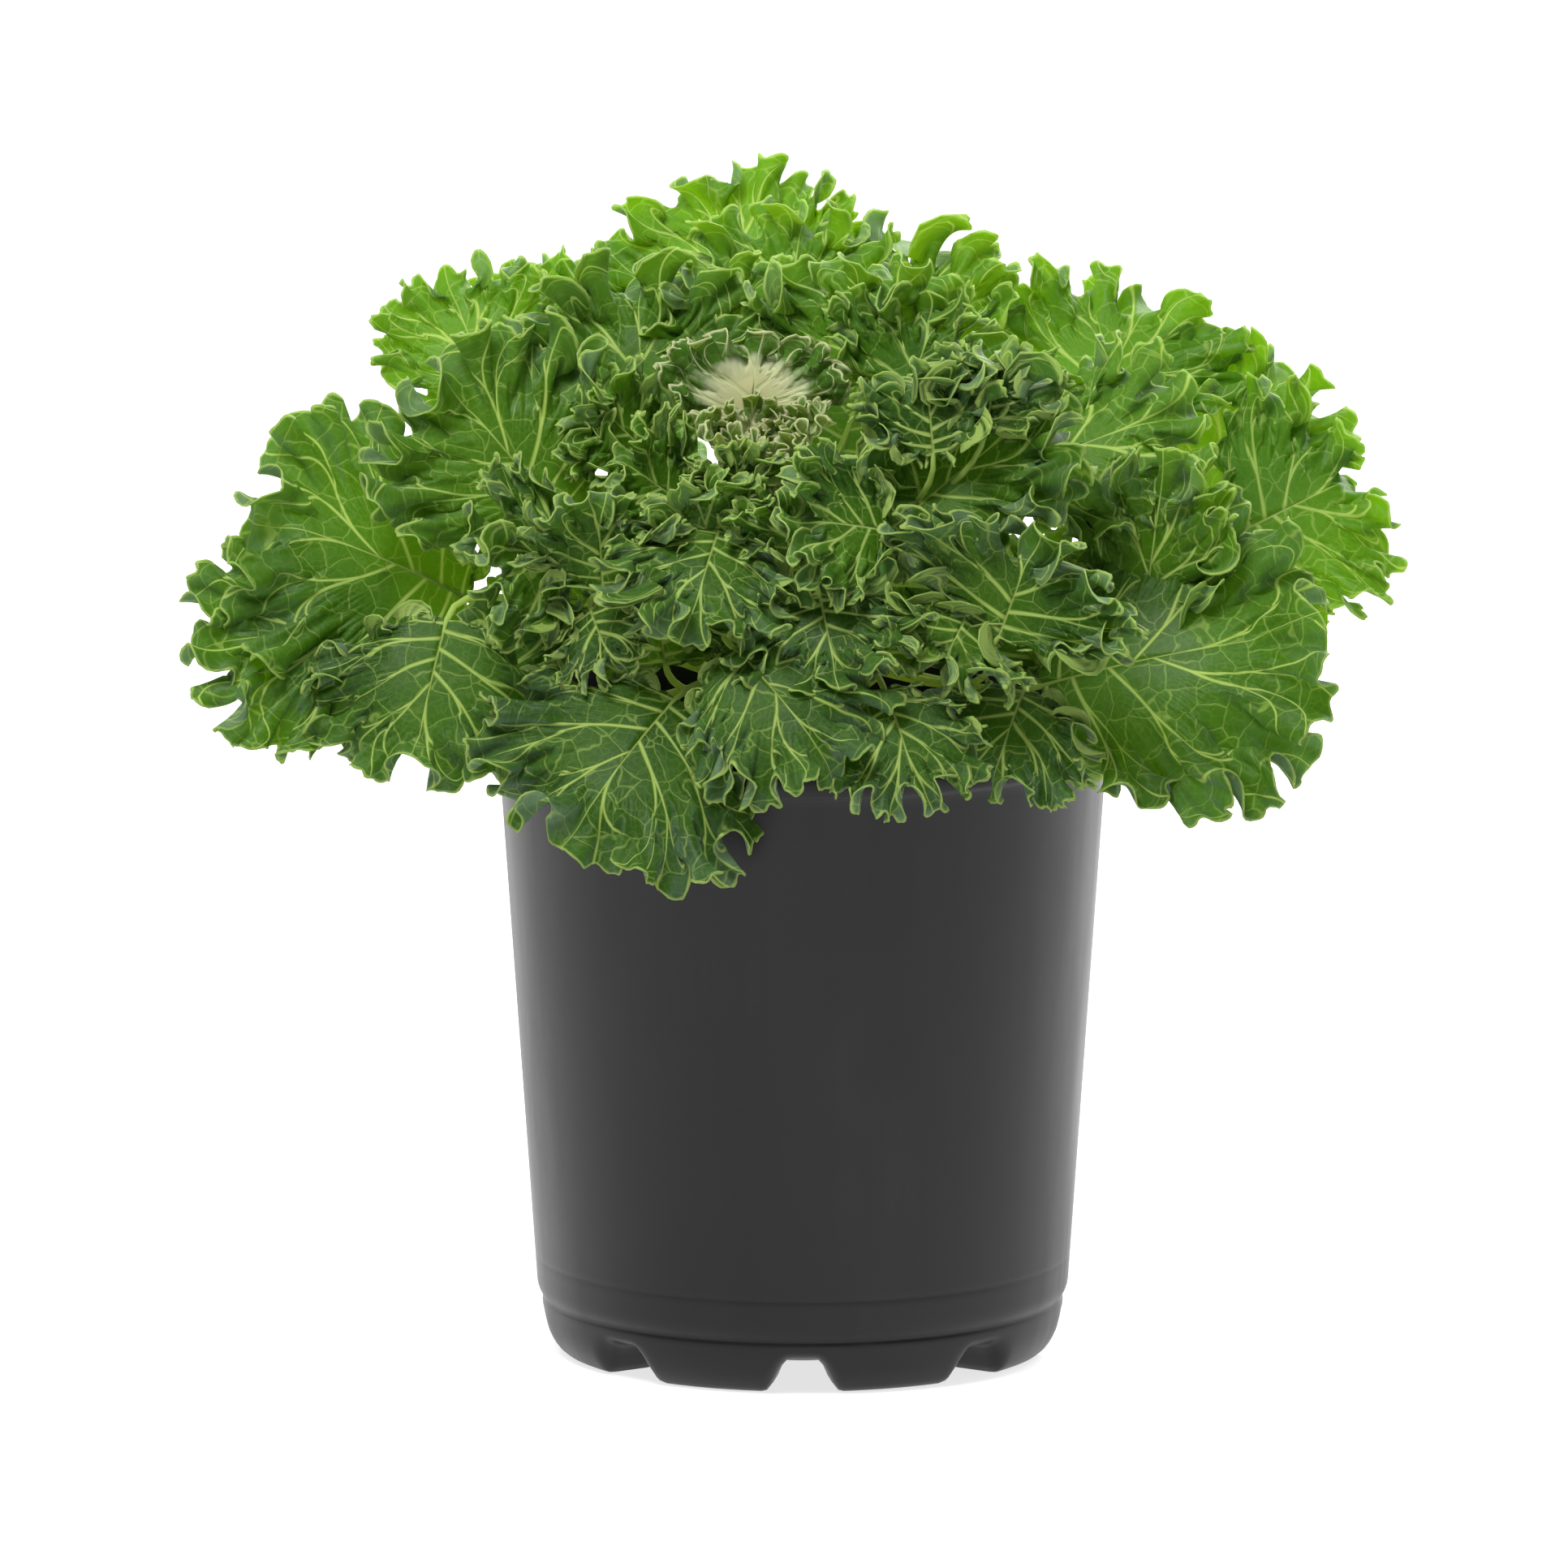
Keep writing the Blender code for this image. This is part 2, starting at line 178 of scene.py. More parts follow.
# Every blade that the photograph shows: its leaf, the pixel of the photograph and the depth in millimetres
# behind the pot's axis for its base and for its tip, the direction that its upper side faces, its width in
# millimetres, and how far it curls along and across in degrees
BLADES = [
    ("outer_leaf_14", (575, 738, -38), (285, 628, -50), (-0.15, -0.75, 0.65), 114, 30, 10),
    ("outer_leaf_06", (500, 785, -50), (222, 800, -62), (-0.10, -0.80, 0.60), 86, 35, 30),
    ("outer_leaf_09", (550, 765, -70), (505, 972, -85), (-0.10, -0.85, 0.50), 92, 30, 30),
    ("outer_leaf_17", (728, 750, -85), (768, 842, -100), (-0.30, -0.90, 0.20), 42, 30, -20),
    ("outer_leaf_04", (832, 862, -95), (690, 1052, -122), (-0.10, -0.85, 0.50), 108, 35, 25),
    ("outer_leaf_12", (905, 800, -105), (1035, 962, -128), (0.10, -0.85, 0.50), 80, 40, 20),
    ("outer_leaf_07", (1090, 850, -105), (1140, 1008, -122), (0.10, -0.85, 0.45), 58, 30, 0),
    ("outer_leaf_10", (1285, 845, -60), (1645, 778, -72), (0.10, -0.80, 0.60), 122, 25, 15),
    ("outer_leaf_15", (1262, 850, -78), (1215, 985, -98), (0.00, -0.90, 0.40), 66, 30, 10),
    ("middle_leaf_09", (1230, 785, -100), (1278, 652, -112), (0.00, -0.75, 0.65), 98, -20, -20),
    ("middle_leaf_09", (1190, 760, -96), (1150, 838, -110), (0.10, -0.90, 0.30), 60, 20, 0),
    ("middle_leaf_01", (1010, 735, -100), (1035, 858, -116), (0.00, -0.85, 0.40), 72, 30, 0),
    ("middle_leaf_04", (1408, 792, -50), (1440, 550, -60), (-0.35, -0.85, 0.35), 62, 10, 0),
    ("middle_leaf_07", (1240, 592, -35), (1485, 505, -30), (0.00, -0.65, 0.75), 84, 30, 20),
    ("middle_leaf_12", (1100, 650, -80), (1315, 480, -72), (0.05, -0.80, 0.60), 72, 10, -20, 1.5),
    ("middle_leaf_12", (1150, 560, -88), (1140, 440, -84), (-0.05, -0.85, 0.50), 54, 20, -10, 1.4),
    ("middle_leaf_12", (1215, 530, -86), (1235, 425, -78), (0.05, -0.85, 0.50), 54, 20, -10, 1.4),
    ("inner_leaf_03", (1098, 655, -92), (955, 640, -112), (-0.20, -0.85, 0.45), 58, 20, -10),
    ("inner_leaf_06", (1110, 500, -50), (1165, 365, -45), (0.00, -0.85, 0.50), 70, 10, -10),
    ("inner_leaf_01", (1058, 475, -45), (1070, 312, -35), (0.00, -0.90, 0.40), 82, 15, -10),
    ("outer_leaf_13", (1338, 515, 5), (1430, 348, 35), (-0.10, -0.85, 0.50), 92, 10, 0),
    ("outer_leaf_02", (1300, 520, 40), (1300, 346, 70), (0.00, -0.90, 0.40), 60, 10, 0),
    ("outer_leaf_18", (1455, 625, 5), (1602, 440, 25), (0.10, -0.80, 0.60), 84, 10, 0),
    ("outer_leaf_05", (1530, 655, -5), (1692, 578, 5), (0.10, -0.85, 0.50), 92, 15, 0),
    ("outer_leaf_05", (1500, 690, 15), (1648, 745, 25), (0.10, -0.85, 0.50), 62, 15, 0),
    ("outer_leaf_16", (925, 410, 10), (868, 208, 40), (-0.10, -0.85, 0.50), 90, 10, 0),
    ("middle_leaf_10", (968, 420, -10), (990, 250, 10), (0.00, -0.90, 0.40), 80, 10, 0),
    ("middle_leaf_02", (1110, 470, 0), (1132, 266, 25), (0.05, -0.85, 0.50), 74, 20, 0),
    ("inner_leaf_04", (925, 470, -40), (880, 320, -25), (0.00, -0.90, 0.40), 60, 10, 0),
    ("middle_leaf_13", (792, 545, -45), (785, 308, -25), (-0.05, -0.88, 0.45), 84, 10, -15),
    ("middle_leaf_05", (715, 520, -20), (655, 385, -10), (-0.05, -0.88, 0.45), 62, 10, 0),
    ("outer_leaf_03", (760, 470, 20), (712, 312, 40), (-0.05, -0.88, 0.45), 56, 10, 0),
    ("outer_leaf_11", (680, 450, 25), (628, 328, 50), (-0.10, -0.88, 0.45), 62, 10, 0),
    ("outer_leaf_19", (610, 500, -5), (545, 325, 15), (-0.15, -0.85, 0.45), 66, 10, 0),
    ("middle_leaf_08", (695, 640, -55), (522, 440, -50), (-0.15, -0.85, 0.50), 96, 15, 0),
    ("inner_leaf_07", (800, 560, -50), (715, 480, -60), (-0.10, -0.85, 0.50), 50, 10, 0),
    ("inner_leaf_02", (840, 620, -68), (752, 560, -80), (-0.10, -0.80, 0.60), 55, 10, -10),
    ("middle_leaf_03", (705, 695, -75), (575, 668, -95), (-0.15, -0.85, 0.50), 70, 25, 10),
    ("middle_leaf_11", (742, 722, -88), (735, 603, -100), (-0.05, -0.85, 0.50), 62, -10, -20),
    ("middle_leaf_06", (885, 655, -92), (845, 795, -118), (0.00, -0.80, 0.60), 74, 40, 20),
    ("inner_leaf_05", (880, 685, -88), (850, 585, -98), (-0.05, -0.85, 0.50), 50, 0, -10),
    ("inner_leaf_08", (975, 690, -90), (965, 598, -100), (0.05, -0.85, 0.50), 48, 0, -10),
    ("middle_leaf_14", (912, 610, -86), (903, 545, -92), (0.00, -0.90, 0.40), 38, 0, -10),
    ("middle_leaf_03", (705, 800, -45), (650, 690, -40), (-0.2, -0.90, 0.30), 84, 10, 0),
    ("outer_leaf_04", (820, 820, -52), (800, 700, -50), (-0.1, -0.90, 0.30), 84, 10, 0),
    ("outer_leaf_12", (950, 820, -56), (960, 700, -55), (0.0, -0.90, 0.30), 84, 10, 0),
    ("outer_leaf_07", (1085, 820, -56), (1100, 710, -55), (0.1, -0.90, 0.30), 84, 10, 0),
    ("outer_leaf_15", (1220, 820, -50), (1250, 700, -46), (0.1, -0.90, 0.30), 88, 10, 0),
    ("middle_leaf_04", (1345, 810, -35), (1400, 690, -28), (0.2, -0.90, 0.30), 88, 10, 0),
    ("inner_leaf_05", (860, 690, -40), (850, 590, -40), (0.0, -0.90, 0.30), 70, 10, 0),
    ("inner_leaf_08", (990, 700, -48), (1000, 600, -45), (0.0, -0.90, 0.30), 70, 10, 0),
    ("outer_leaf_09", (600, 860, -52), (560, 750, -45), (-0.2, -0.90, 0.30), 84, 10, 0),
    ("heart_leaf_01", (925, 530, -58), (935, 408, -56), (0.00, -0.85, 0.50), 66, 10, -20),
]

# Numbers on the blade points that the material reads. One of them is the share of painted backlight. turned is how far
# the surface turns from the blade's middle normal, and the material paints sheen there.
NUMBERS = ("phase", "spacing", "reach", "edge", "rib", "under", "turned", "painted_backlight")

# The photograph's scale: pixels of the pot's axis and of the camera's target, and metres per pixel there
AXIS_PIXEL = 989
TARGET_PIXEL = 960
PIXEL = 0.0002667

# Grids: rays round the leaf by steps from midrib to margin
GRIDS = [(97, 9), (193, 17), (289, 25)]
ITERATIONS = (140, 90, 60)
FINE_GRIDS = {
    "yellow_leaf": (257, 17),
    "outer_leaf": (449, 29),
    "middle_leaf": (449, 29),
    "inner_leaf": (321, 25),
    "heart_leaf": (321, 25),
}


def smoothstep(low, high, value):
    share = np.clip((value - low) / (high - low), 0, 1)
    return share * share * (3 - 2 * share)


def list_blades():
    """Every blade as a dictionary of its numbers. A leaf that the photograph doesn't show has one blade."""
    leaves = []
    last = sum(len(rows) for rows in KINDS.values()) - 1
    order = 0
    for kind, rows in KINDS.items():
        for number, row in enumerate(rows):
            leaves.append((kind, number, row, order / last))
            order += 1
    for number, row in enumerate(YELLOW_LEAVES):
        leaves.append(("yellow_leaf", number, row, YELLOW_LEVELS[number]))
    blades = []
    for kind, number, (azimuth, length, stalk, width), level in leaves:
        name = "%s_%02d" % (kind, number + 1)
        growth, power, thickness, lobes, depth, inside = HABIT[kind]
        leaf = dict(
            name=name,
            kind=kind,
            azimuth=math.radians(azimuth),
            stalk=stalk / 1000,
            blade=(length - stalk) / 1000,
            width=width / 1000,
            level=level,
            growth=growth,
            power=power,
            thickness=thickness,
            lobes=lobes,
            depth=depth,
            inside=inside,
            # Middling share of painted backlight for leaves that the photograph doesn't show
            painted_backlight=0.6,
            aim=None,
        )
        aims = [row for row in BLADES if row[0] == name]
        blades += [aimed(leaf, row) for row in aims] if aims else [leaf]
    rng = np.random.default_rng(5)
    for blade in blades:
        blade["chance"] = rng.uniform(0, math.tau, 5)
    return blades


def view_point(column_pixel, row_pixel, depth):
    """The place that a pixel of the photograph shows at a depth in millimetres behind the pot's axis."""
    away = np.array((0, math.cos(CAMERA_ELEVATION), -math.sin(CAMERA_ELEVATION)))
    up = np.array((0, math.sin(CAMERA_ELEVATION), math.cos(CAMERA_ELEVATION)))
    scale = PIXEL * (1 + depth / 1000 / CAMERA_DISTANCE)
    right = np.array((1, 0, 0)) * (column_pixel - AXIS_PIXEL) * scale
    return np.array(CAMERA_TARGET) + right + up * (TARGET_PIXEL - row_pixel) * scale + away * depth / 1000


def unit(vector):
    return vector / np.linalg.norm(vector)


def aimed(leaf, row):
    """The leaf with a blade from its place in the photograph."""
    _, base, tip, face, width, curl, cup, frill = row + (1.0,) * (8 - len(row))
    # Painted backlight: blades further behind the pot's axis get a larger share of a brighter, yellower green
    painted_backlight = float(smoothstep(-105, 30, base[2]))
    base = view_point(*base)
    chord = view_point(*tip) - base
    curl = math.radians(curl) or 1e-3
    arc = (curl / 2) / math.sin(curl / 2)
    ahead = unit(chord)
    side = unit(np.cross(np.array(face), ahead))
    return dict(
        leaf,
        blade=float(np.linalg.norm(chord)) * arc,
        width=width / 1000,
        growth=leaf["growth"] * frill,
        painted_backlight=painted_backlight,
        aim=(base, ahead, side, np.cross(ahead, side), curl, math.radians(cup) or 1e-3),
    )


def aimed_points(leaf, across, along):
    """World positions of flat blade points on a leaf with its own aim: a sheet bent along and across."""
    base, ahead, side, face, curl, cup = leaf["aim"]
    turn = curl * along / leaf["blade"]
    radius = leaf["blade"] / curl
    forward = radius * (np.sin(turn - curl / 2) + math.sin(curl / 2))
    lift = radius * (np.cos(turn - curl / 2) - math.cos(curl / 2))
    bend = cup * across / (leaf["width"] / 2)
    wide = leaf["width"] / 2 / cup
    drop = wide * (1 - np.cos(bend))
    forward = forward - drop * np.sin(turn - curl / 2)
    lift = lift - drop * np.cos(turn - curl / 2)
    parts = ((ahead, forward), (face, lift), (side, wide * np.sin(bend)))
    return base + sum(vector * amount[..., None] for vector, amount in parts)


def column(leaves, key):
    """One number of every leaf, shaped to spread over the grids."""
    return np.array([leaf[key] for leaf in leaves], dtype=float)[:, None, None]


def around(values, azimuth):
    """A value for this azimuth, between those for the front, the sides and the back of the plant."""
    front, side, back = values
    depth = np.sin(azimuth)
    end = np.where(depth > 0, back, front)
    return side + (end - side) * depth * depth


def stem_radius(height):
    share = np.clip((height - CROWN_START) / (STEM_LENGTH - CROWN_START), 0, 1)
    low = STEM_RADIUS * (1 - 0.12 * np.clip(height / CROWN_START, 0, 1))
    return np.where(height <= CROWN_START, low, low + (STEM_TIP_RADIUS - low) * share**1.3)


def rise(level, azimuth):
    lowest = around(RISE, azimuth)
    return lowest + (HIGHEST_RISE - lowest) * np.maximum(level, 0) ** around(RISE_POWER, azimuth)


def bowl_point(level, thickness, home, azimuth, along):
    """(distance from the stem's axis, height along it) at a length along a leaf's bowl."""
    first = rise(level, azimuth)
    turn = around(DROOP, azimuth) * (1 - np.maximum(level, 0)) ** 1.2
    up = LOWEST_LEAF + (HIGHEST_LEAF - LOWEST_LEAF) * level
    out = stem_radius(up) + GAP + 0.0004 + 0.5 * thickness * np.sin(rise(level, home))
    up = up + np.zeros_like(along)
    out = out + np.zeros_like(along)
    step = along / BOWL_STEPS
    for number in range(BOWL_STEPS):
        gone = (number + 0.5) * step
        angle = first - turn * (gone / DROOP_LENGTH) * np.abs(gone / DROOP_LENGTH)
        out = out + step * np.cos(angle)
        up = up + step * np.sin(angle)
    return out, up


def rosette_frame():
    """Right, back and up directions of the leaning plant."""
    up = np.array((-math.tan(LEAN_LEFT), -math.tan(LEAN_FRONT), 1))
    up = up / np.linalg.norm(up)
    right = np.array((1, 0, 0)) - up * up[0]
    right = right / np.linalg.norm(right)
    return right, np.cross(up, right), up


def stem_base():
    return np.array((STEM_FOOT[0], STEM_FOOT[1], SOIL_TOP + SOIL_MOUND))


def on_bowl(leaves, across, along):
    """World positions at a length from the stem and a distance across the midrib."""
    level = column(leaves, "level")
    thickness = column(leaves, "thickness")
    home = column(leaves, "azimuth")
    right, back, up = rosette_frame()
    middle = bowl_point(level, thickness, home, home, along)[0]
    radius = np.maximum(middle, np.abs(across) * LEAST_RADIUS_SHARE)
    azimuth = home + across / radius
    out, height = bowl_point(level, thickness, home, azimuth, along)
    outward = right * np.cos(azimuth)[..., None] + back * np.sin(azimuth)[..., None]
    return stem_base() + outward * out[..., None] + up * height[..., None]


def placed(leaves, across, along):
    """World positions of flat blade points, on the leaf's bowl or at its own aim."""
    points = on_bowl(leaves, across, column(leaves, "stalk") + along)
    for index, leaf in enumerate(leaves):
        if leaf["aim"]:
            points[index] = aimed_points(leaf, across[index], along[index])
    return points


def lobe_angle(leaf, turn):
    """An angle round the margin that makes one full turn from each notch between lobes to the next."""
    chance = leaf["chance"]
    drift = 0.050 * np.sin(turn * 5 + chance[0]) + 0.028 * np.sin(turn * 12 + chance[1])
    return math.pi * leaf["lobes"] * (turn + drift) + chance[2]


def lobe_depth(leaf, turn):
    """How far the notches between the lobes reach in from the margin."""
    uneven = 0.72 + 0.28 * np.sin(turn * 8 + leaf["chance"][3])
    return leaf["depth"] * uneven * (0.5 + 0.5 * np.cos(lobe_angle(leaf, turn))) ** 3.2


def flat_rays(leaves, rays, steps):
    """Flat blade coordinates (across, along) on a fan of rays from the midrib to the lobed margin."""
    turns = np.linspace(-1, 1, rays)
    turn = turns[None, :, None]
    reach = np.linspace(0, 1, steps)[None, None, :]
    away = np.abs(turn)
    blade = column(leaves, "blade")
    width = column(leaves, "width")
    angle = 0.94 * math.pi * away
    edge_x = np.sign(turn) * width / 2 * np.sin(angle) ** 0.85
    edge_y = blade * ((0.5 + 0.5 * np.cos(angle)) ** 0.85 - 0.03 * away**6)
    start_y = 0.48 * blade * (1 - away) ** 1.4
    bow = 0.08 * np.sin(math.pi * reach) * blade * np.sin(angle)
    notch = np.stack([lobe_depth(leaf, turns) for leaf in leaves])[:, :, None]
    left = 1 - np.minimum(notch / (np.hypot(edge_x, edge_y - start_y) + 1e-6), 0.4)
    across = edge_x * left * reach
    along = start_y + (edge_y - start_y) * left * reach - bow * 0.5
    return across, along


def growth_field(leaves, rays, steps, share, rng_phase):
    """How much longer the tissue is along the margin than the flat blade allows."""
    turn = np.linspace(-1, 1, rays)[None, :, None]
    reach = np.linspace(0, 1, steps)[None, None, :]
    growth = column(leaves, "growth")
    power = column(leaves, "power")
    uneven = 1 + 0.35 * np.sin(turn * 9 + rng_phase[0]) * np.sin(turn * 4 + rng_phase[1])
    return 1 + share * growth * (0.25 * reach**1.5 + 0.75 * reach**power) * uneven


def size_of(vectors):
    return np.sqrt(np.sum(vectors * vectors, axis=-1))


def rest_lengths(across, along, growth):
    """Lengths that the grown sheet wants along the rays, between them and on both diagonals."""
    flat = np.stack((across, along), axis=-1)
    between = (flat[:, 1:] - flat[:, :-1]) * ((growth[:, 1:] + growth[:, :-1]) / 2)[..., None]
    outward = flat[:, :, 1:] - flat[:, :, :-1]
    wide = (between[:, :, 1:] + between[:, :, :-1]) / 2
    long = (outward[:, 1:] + outward[:, :-1]) / 2
    return {
        "between": size_of(between).astype(np.float32),
        "outward": size_of(outward).astype(np.float32),
        "forward": size_of(wide + long).astype(np.float32),
        "backward": size_of(wide - long).astype(np.float32),
    }


def relax_pair(first, second, rest, stiffness):
    """Moves two sets of points towards their wanted distance, in place."""
    gap = second - first
    length = np.sqrt(np.einsum("...i,...i", gap, gap)) + 1e-9
    gap *= (0.5 * stiffness * (length - rest) / length)[..., None]
    first += gap
    second -= gap


def grow(points, base, rest, iterations, hold, bend):
    """Relaxes the sheets to their wanted lengths. The midrib stays, and the base shape holds the inside."""
    spine = base[:, :, 0].copy()
    straight_u = (rest["between"][:, 1:] + rest["between"][:, :-1]) * 0.98
    straight_v = (rest["outward"][:, :, 1:] + rest["outward"][:, :, :-1]) * 0.99
    for _ in range(iterations):
        for c in (0, 1):
            relax_pair(points[:, c:-1:2], points[:, c + 1 :: 2], rest["between"][:, c::2], 1)
            relax_pair(points[:, :, c:-1:2], points[:, :, c + 1 :: 2], rest["outward"][:, :, c::2], 1)
            relax_pair(points[:, c:-1:2, :-1], points[:, c + 1 :: 2, 1:], rest["forward"][:, c::2], 0.6)
            relax_pair(points[:, c:-1:2, 1:], points[:, c + 1 :: 2, :-1], rest["backward"][:, c::2], 0.6)
        for first, second, straight in (
            (points[:, :-2], points[:, 2:], straight_u),
            (points[:, :, :-2], points[:, :, 2:], straight_v),
        ):
            gap = second - first
            length = np.sqrt(np.einsum("...i,...i", gap, gap)) + 1e-9
            gap *= (bend * np.minimum(length - straight, 0) / length)[..., None]
            first += gap
            second -= gap
        points += (base - points) * hold
        points[:, :, 0] = spine
        clear_pot(points, base)
    return points


def clear_pot(points, base):
    """Keeps blades that hang over the rim out of the pot's wall."""
    low = points[..., 2] < POT_HEIGHT + 0.003
    outside = np.hypot(base[..., 0], base[..., 1]) > RIM_RADIUS - 0.004
    radius = np.hypot(points[..., 0], points[..., 1])
    inside = low & outside & (radius < RIM_RADIUS + 0.0025)
    factor = np.where(inside, (RIM_RADIUS + 0.0025) / np.maximum(radius, 1e-6), 1)
    points[..., 0] *= factor
    points[..., 1] *= factor


def surface_normals(points):
    """Unit normals of grids of points."""
    du = np.gradient(points, axis=1)
    dv = np.gradient(points, axis=2)
    normal = np.cross(du, dv)
    return normal / (np.linalg.norm(normal, axis=-1, keepdims=True) + 1e-12)


def cubic_matrix(fine, coarse):
    """Catmull-Rom weights that turn a row of coarse points into a row of fine ones."""
    at = np.linspace(0, coarse - 1, fine)
    first = np.clip(np.floor(at).astype(int), 0, coarse - 2)
    t = at - first
    weights = (
        (-t + 2 * t**2 - t**3) / 2,
        (2 - 5 * t**2 + 3 * t**3) / 2,
        (t + 4 * t**2 - 3 * t**3) / 2,
        (t**3 - t**2) / 2,
    )
    matrix = np.zeros((fine, coarse))
    rows = np.arange(fine)
    for shift, weight in zip((-1, 0, 1, 2), weights):
        np.add.at(matrix, (rows, np.clip(first + shift, 0, coarse - 1)), weight)
    return matrix


def finer(points, rays, steps):
    over_rays = cubic_matrix(rays, points.shape[1])
    over_steps = cubic_matrix(steps, points.shape[2])
    points = np.einsum("ab,nbcd->nacd", over_rays, points, optimize=True)
    return np.einsum("ab,ncbd->ncad", over_steps, points, optimize=True)


def hold_weights(leaves, steps):
    """How strongly each step from the midrib outwards is drawn back to the leaf's own shape."""
    reach = np.linspace(0, 1, steps)[None, None, :]
    inside = column(leaves, "inside")
    return (0.30 * (1 - smoothstep(0.0, 1.0, reach / inside)) + 0.003)[..., None].astype(np.float32)


def first_waves(leaves, rays, reach):
    """Slow waves of the whole blade, and near the margin one lobe up and the next one down."""
    turn = np.linspace(-1, 1, rays)[:, None]
    waves = []
    for leaf in leaves:
        chance = leaf["chance"]
        slow = np.sin(turn * 7.5 + chance[1]) + 0.8 * np.sin(turn * 12 + chance[3])
        strength = 0.75 + 0.45 * np.sin(turn * 6 + chance[4])
        quick = strength * np.sin(lobe_angle(leaf, turn) / 2 + 0.5 * np.sin(turn * 4 + chance[0]))
        waves.append(leaf["width"] * (0.065 * slow * reach**1.6 + 0.065 * quick * reach**3))
    return np.array(waves)


def grow_sheets(leaves):
    """The ruffled blades, as grids of points on the last grid."""
    rng = np.random.default_rng(11)
    uneven = rng.uniform(0, math.tau, (2, len(leaves), 1, 1))
    points = None
    shares = (0.65, 0.85, 1.0)
    for stage, (rays, steps) in enumerate(GRIDS):
        across, along = flat_rays(leaves, rays, steps)
        base = placed(leaves, across, along)
        reach = np.linspace(0, 1, steps)[None, None, :]
        if points is None:
            points = base.copy()
            height = first_waves(leaves, rays, reach[0])
        else:
            points = finer(points, rays, steps)
            noise = rng.normal(0, 1, (len(leaves), rays, steps))
            height = noise * reach**3 * (0, 0.0010, 0.0005)[stage]
        points = points + surface_normals(points) * height[..., None]
        growth = growth_field(leaves, rays, steps, shares[stage], uneven)
        rest = rest_lengths(across, along, growth)
        points = points.astype(np.float32)
        base = base.astype(np.float32)
        bend = (0.16, 0.16, 0.14)[stage]
        count = ITERATIONS[stage]
        points = grow(points, base, rest, count, hold_weights(leaves, steps), bend)
    return points


def teeth(leaf, turn, rng):
    """How far the large and the small teeth on the lobes cut into the margin."""
    cut = np.zeros_like(turn)
    for share, depth, sharp in ((2.7, 0.36, 2.4), (6.1, 0.12, 1.3)):
        count = leaf["lobes"] * share
        drift = 0.5 * np.sin(turn * rng.uniform(5, 8) + rng.uniform(0, math.tau))
        drift = drift + 0.3 * np.sin(turn * rng.uniform(15, 21) + rng.uniform(0, math.tau))
        wave = 0.5 + 0.5 * np.cos(math.pi * count * turn + drift * share + rng.uniform(0, math.tau))
        strength = 0.65 + 0.35 * np.sin(turn * rng.uniform(9, 15) + rng.uniform(0, math.tau))
        cut = cut + leaf["depth"] * depth * strength * wave**sharp
    return cut


def resample(points, reach):
    """Points of a grid at other places along its rays, by cubic interpolation. reach is (rays, steps)."""
    steps = points.shape[1]
    at = reach * (steps - 1)
    first = np.clip(np.floor(at).astype(int), 0, steps - 2)
    t = (at - first)[..., None]
    rows = np.arange(points.shape[0])[:, None]
    before, here, after, last = (
        points[rows, np.clip(first + shift, 0, steps - 1)] for shift in (-1, 0, 1, 2)
    )
    return (
        (-t + 2 * t**2 - t**3) / 2 * before
        + (2 - 5 * t**2 + 3 * t**3) / 2 * here
        + (t + 4 * t**2 - 3 * t**3) / 2 * after
        + (t**3 - t**2) / 2 * last
    )


def edge_distance(flat):
    """Distance from each point to the margin, in metres on the flat blade."""
    edge = flat[:, -1]
    rays = len(edge)
    nearest = np.full(flat.shape[:2], 1.0)
    for shift in range(-8, 9):
        index = np.clip(np.arange(rays) + shift, 0, rays - 1)
        gap = flat - edge[index][:, None]
        nearest = np.minimum(nearest, np.hypot(gap[..., 0], gap[..., 1]))
    return nearest


def blade_data(leaf, grid, flat, rng):
    """Points and normals of one blade and the numbers that its material reads."""
    rays, steps = FINE_GRIDS[leaf["kind"]]
    both = np.concatenate((grid, flat), axis=-1)[None]
    both = finer(both, rays, both.shape[2])[0]
    turn = np.linspace(-1, 1, rays)[:, None]
    length = size_of(both[:, -1, 3:] - both[:, 0, 3:])[:, None]
    left = 1 - np.minimum(teeth(leaf, turn, rng) / (length + 1e-6), 0.3)
    reach = np.linspace(0, 1, steps)[None, :] ** 0.85 * np.ones((rays, 1))
    kept = reach * (1 - (1 - left) * reach**2)
    both = resample(both, kept)
    points = both[..., :3]
    flat = both[..., 3:]
    normals = surface_normals(points[None])[0]
    middle = unit(normals.mean(axis=(0, 1)))
    away = np.abs(turn)
    veins = rng.uniform(3.6, 4.6)
    sway = 0.06 * np.sin(kept * rng.uniform(4, 7) + turn * 9 + rng.uniform(0, math.tau))
    phase = veins * (away + sway * smoothstep(0, 0.2, away) * kept) + 0.45 * (turn < 0)
    spacing = size_of(np.gradient(points, axis=0)) / (veins * 2 / (rays - 1))
    return dict(
        points=points,
        normals=normals,
        flat=flat,
        phase=phase,
        spacing=np.clip(spacing, 0.0005, 0.04),
        reach=kept,
        edge=edge_distance(flat),
        rib=np.abs(flat[..., 0]) / np.clip(1 - flat[..., 1] / leaf["blade"], 0.2, 1),
        turned=1 - np.abs(normals @ middle),
        # The blade's share of painted backlight
        painted_backlight=np.full((rays, steps), leaf["painted_backlight"]),
    )


def grid_faces(rays, steps, start, flipped):
    index = np.arange(rays * steps).reshape(rays, steps) + start
    quads = np.stack((index[:-1, :-1], index[1:, :-1], index[1:, 1:], index[:-1, 1:]), axis=-1).reshape(-1, 4)
    return quads[:, ::-1] if flipped else quads


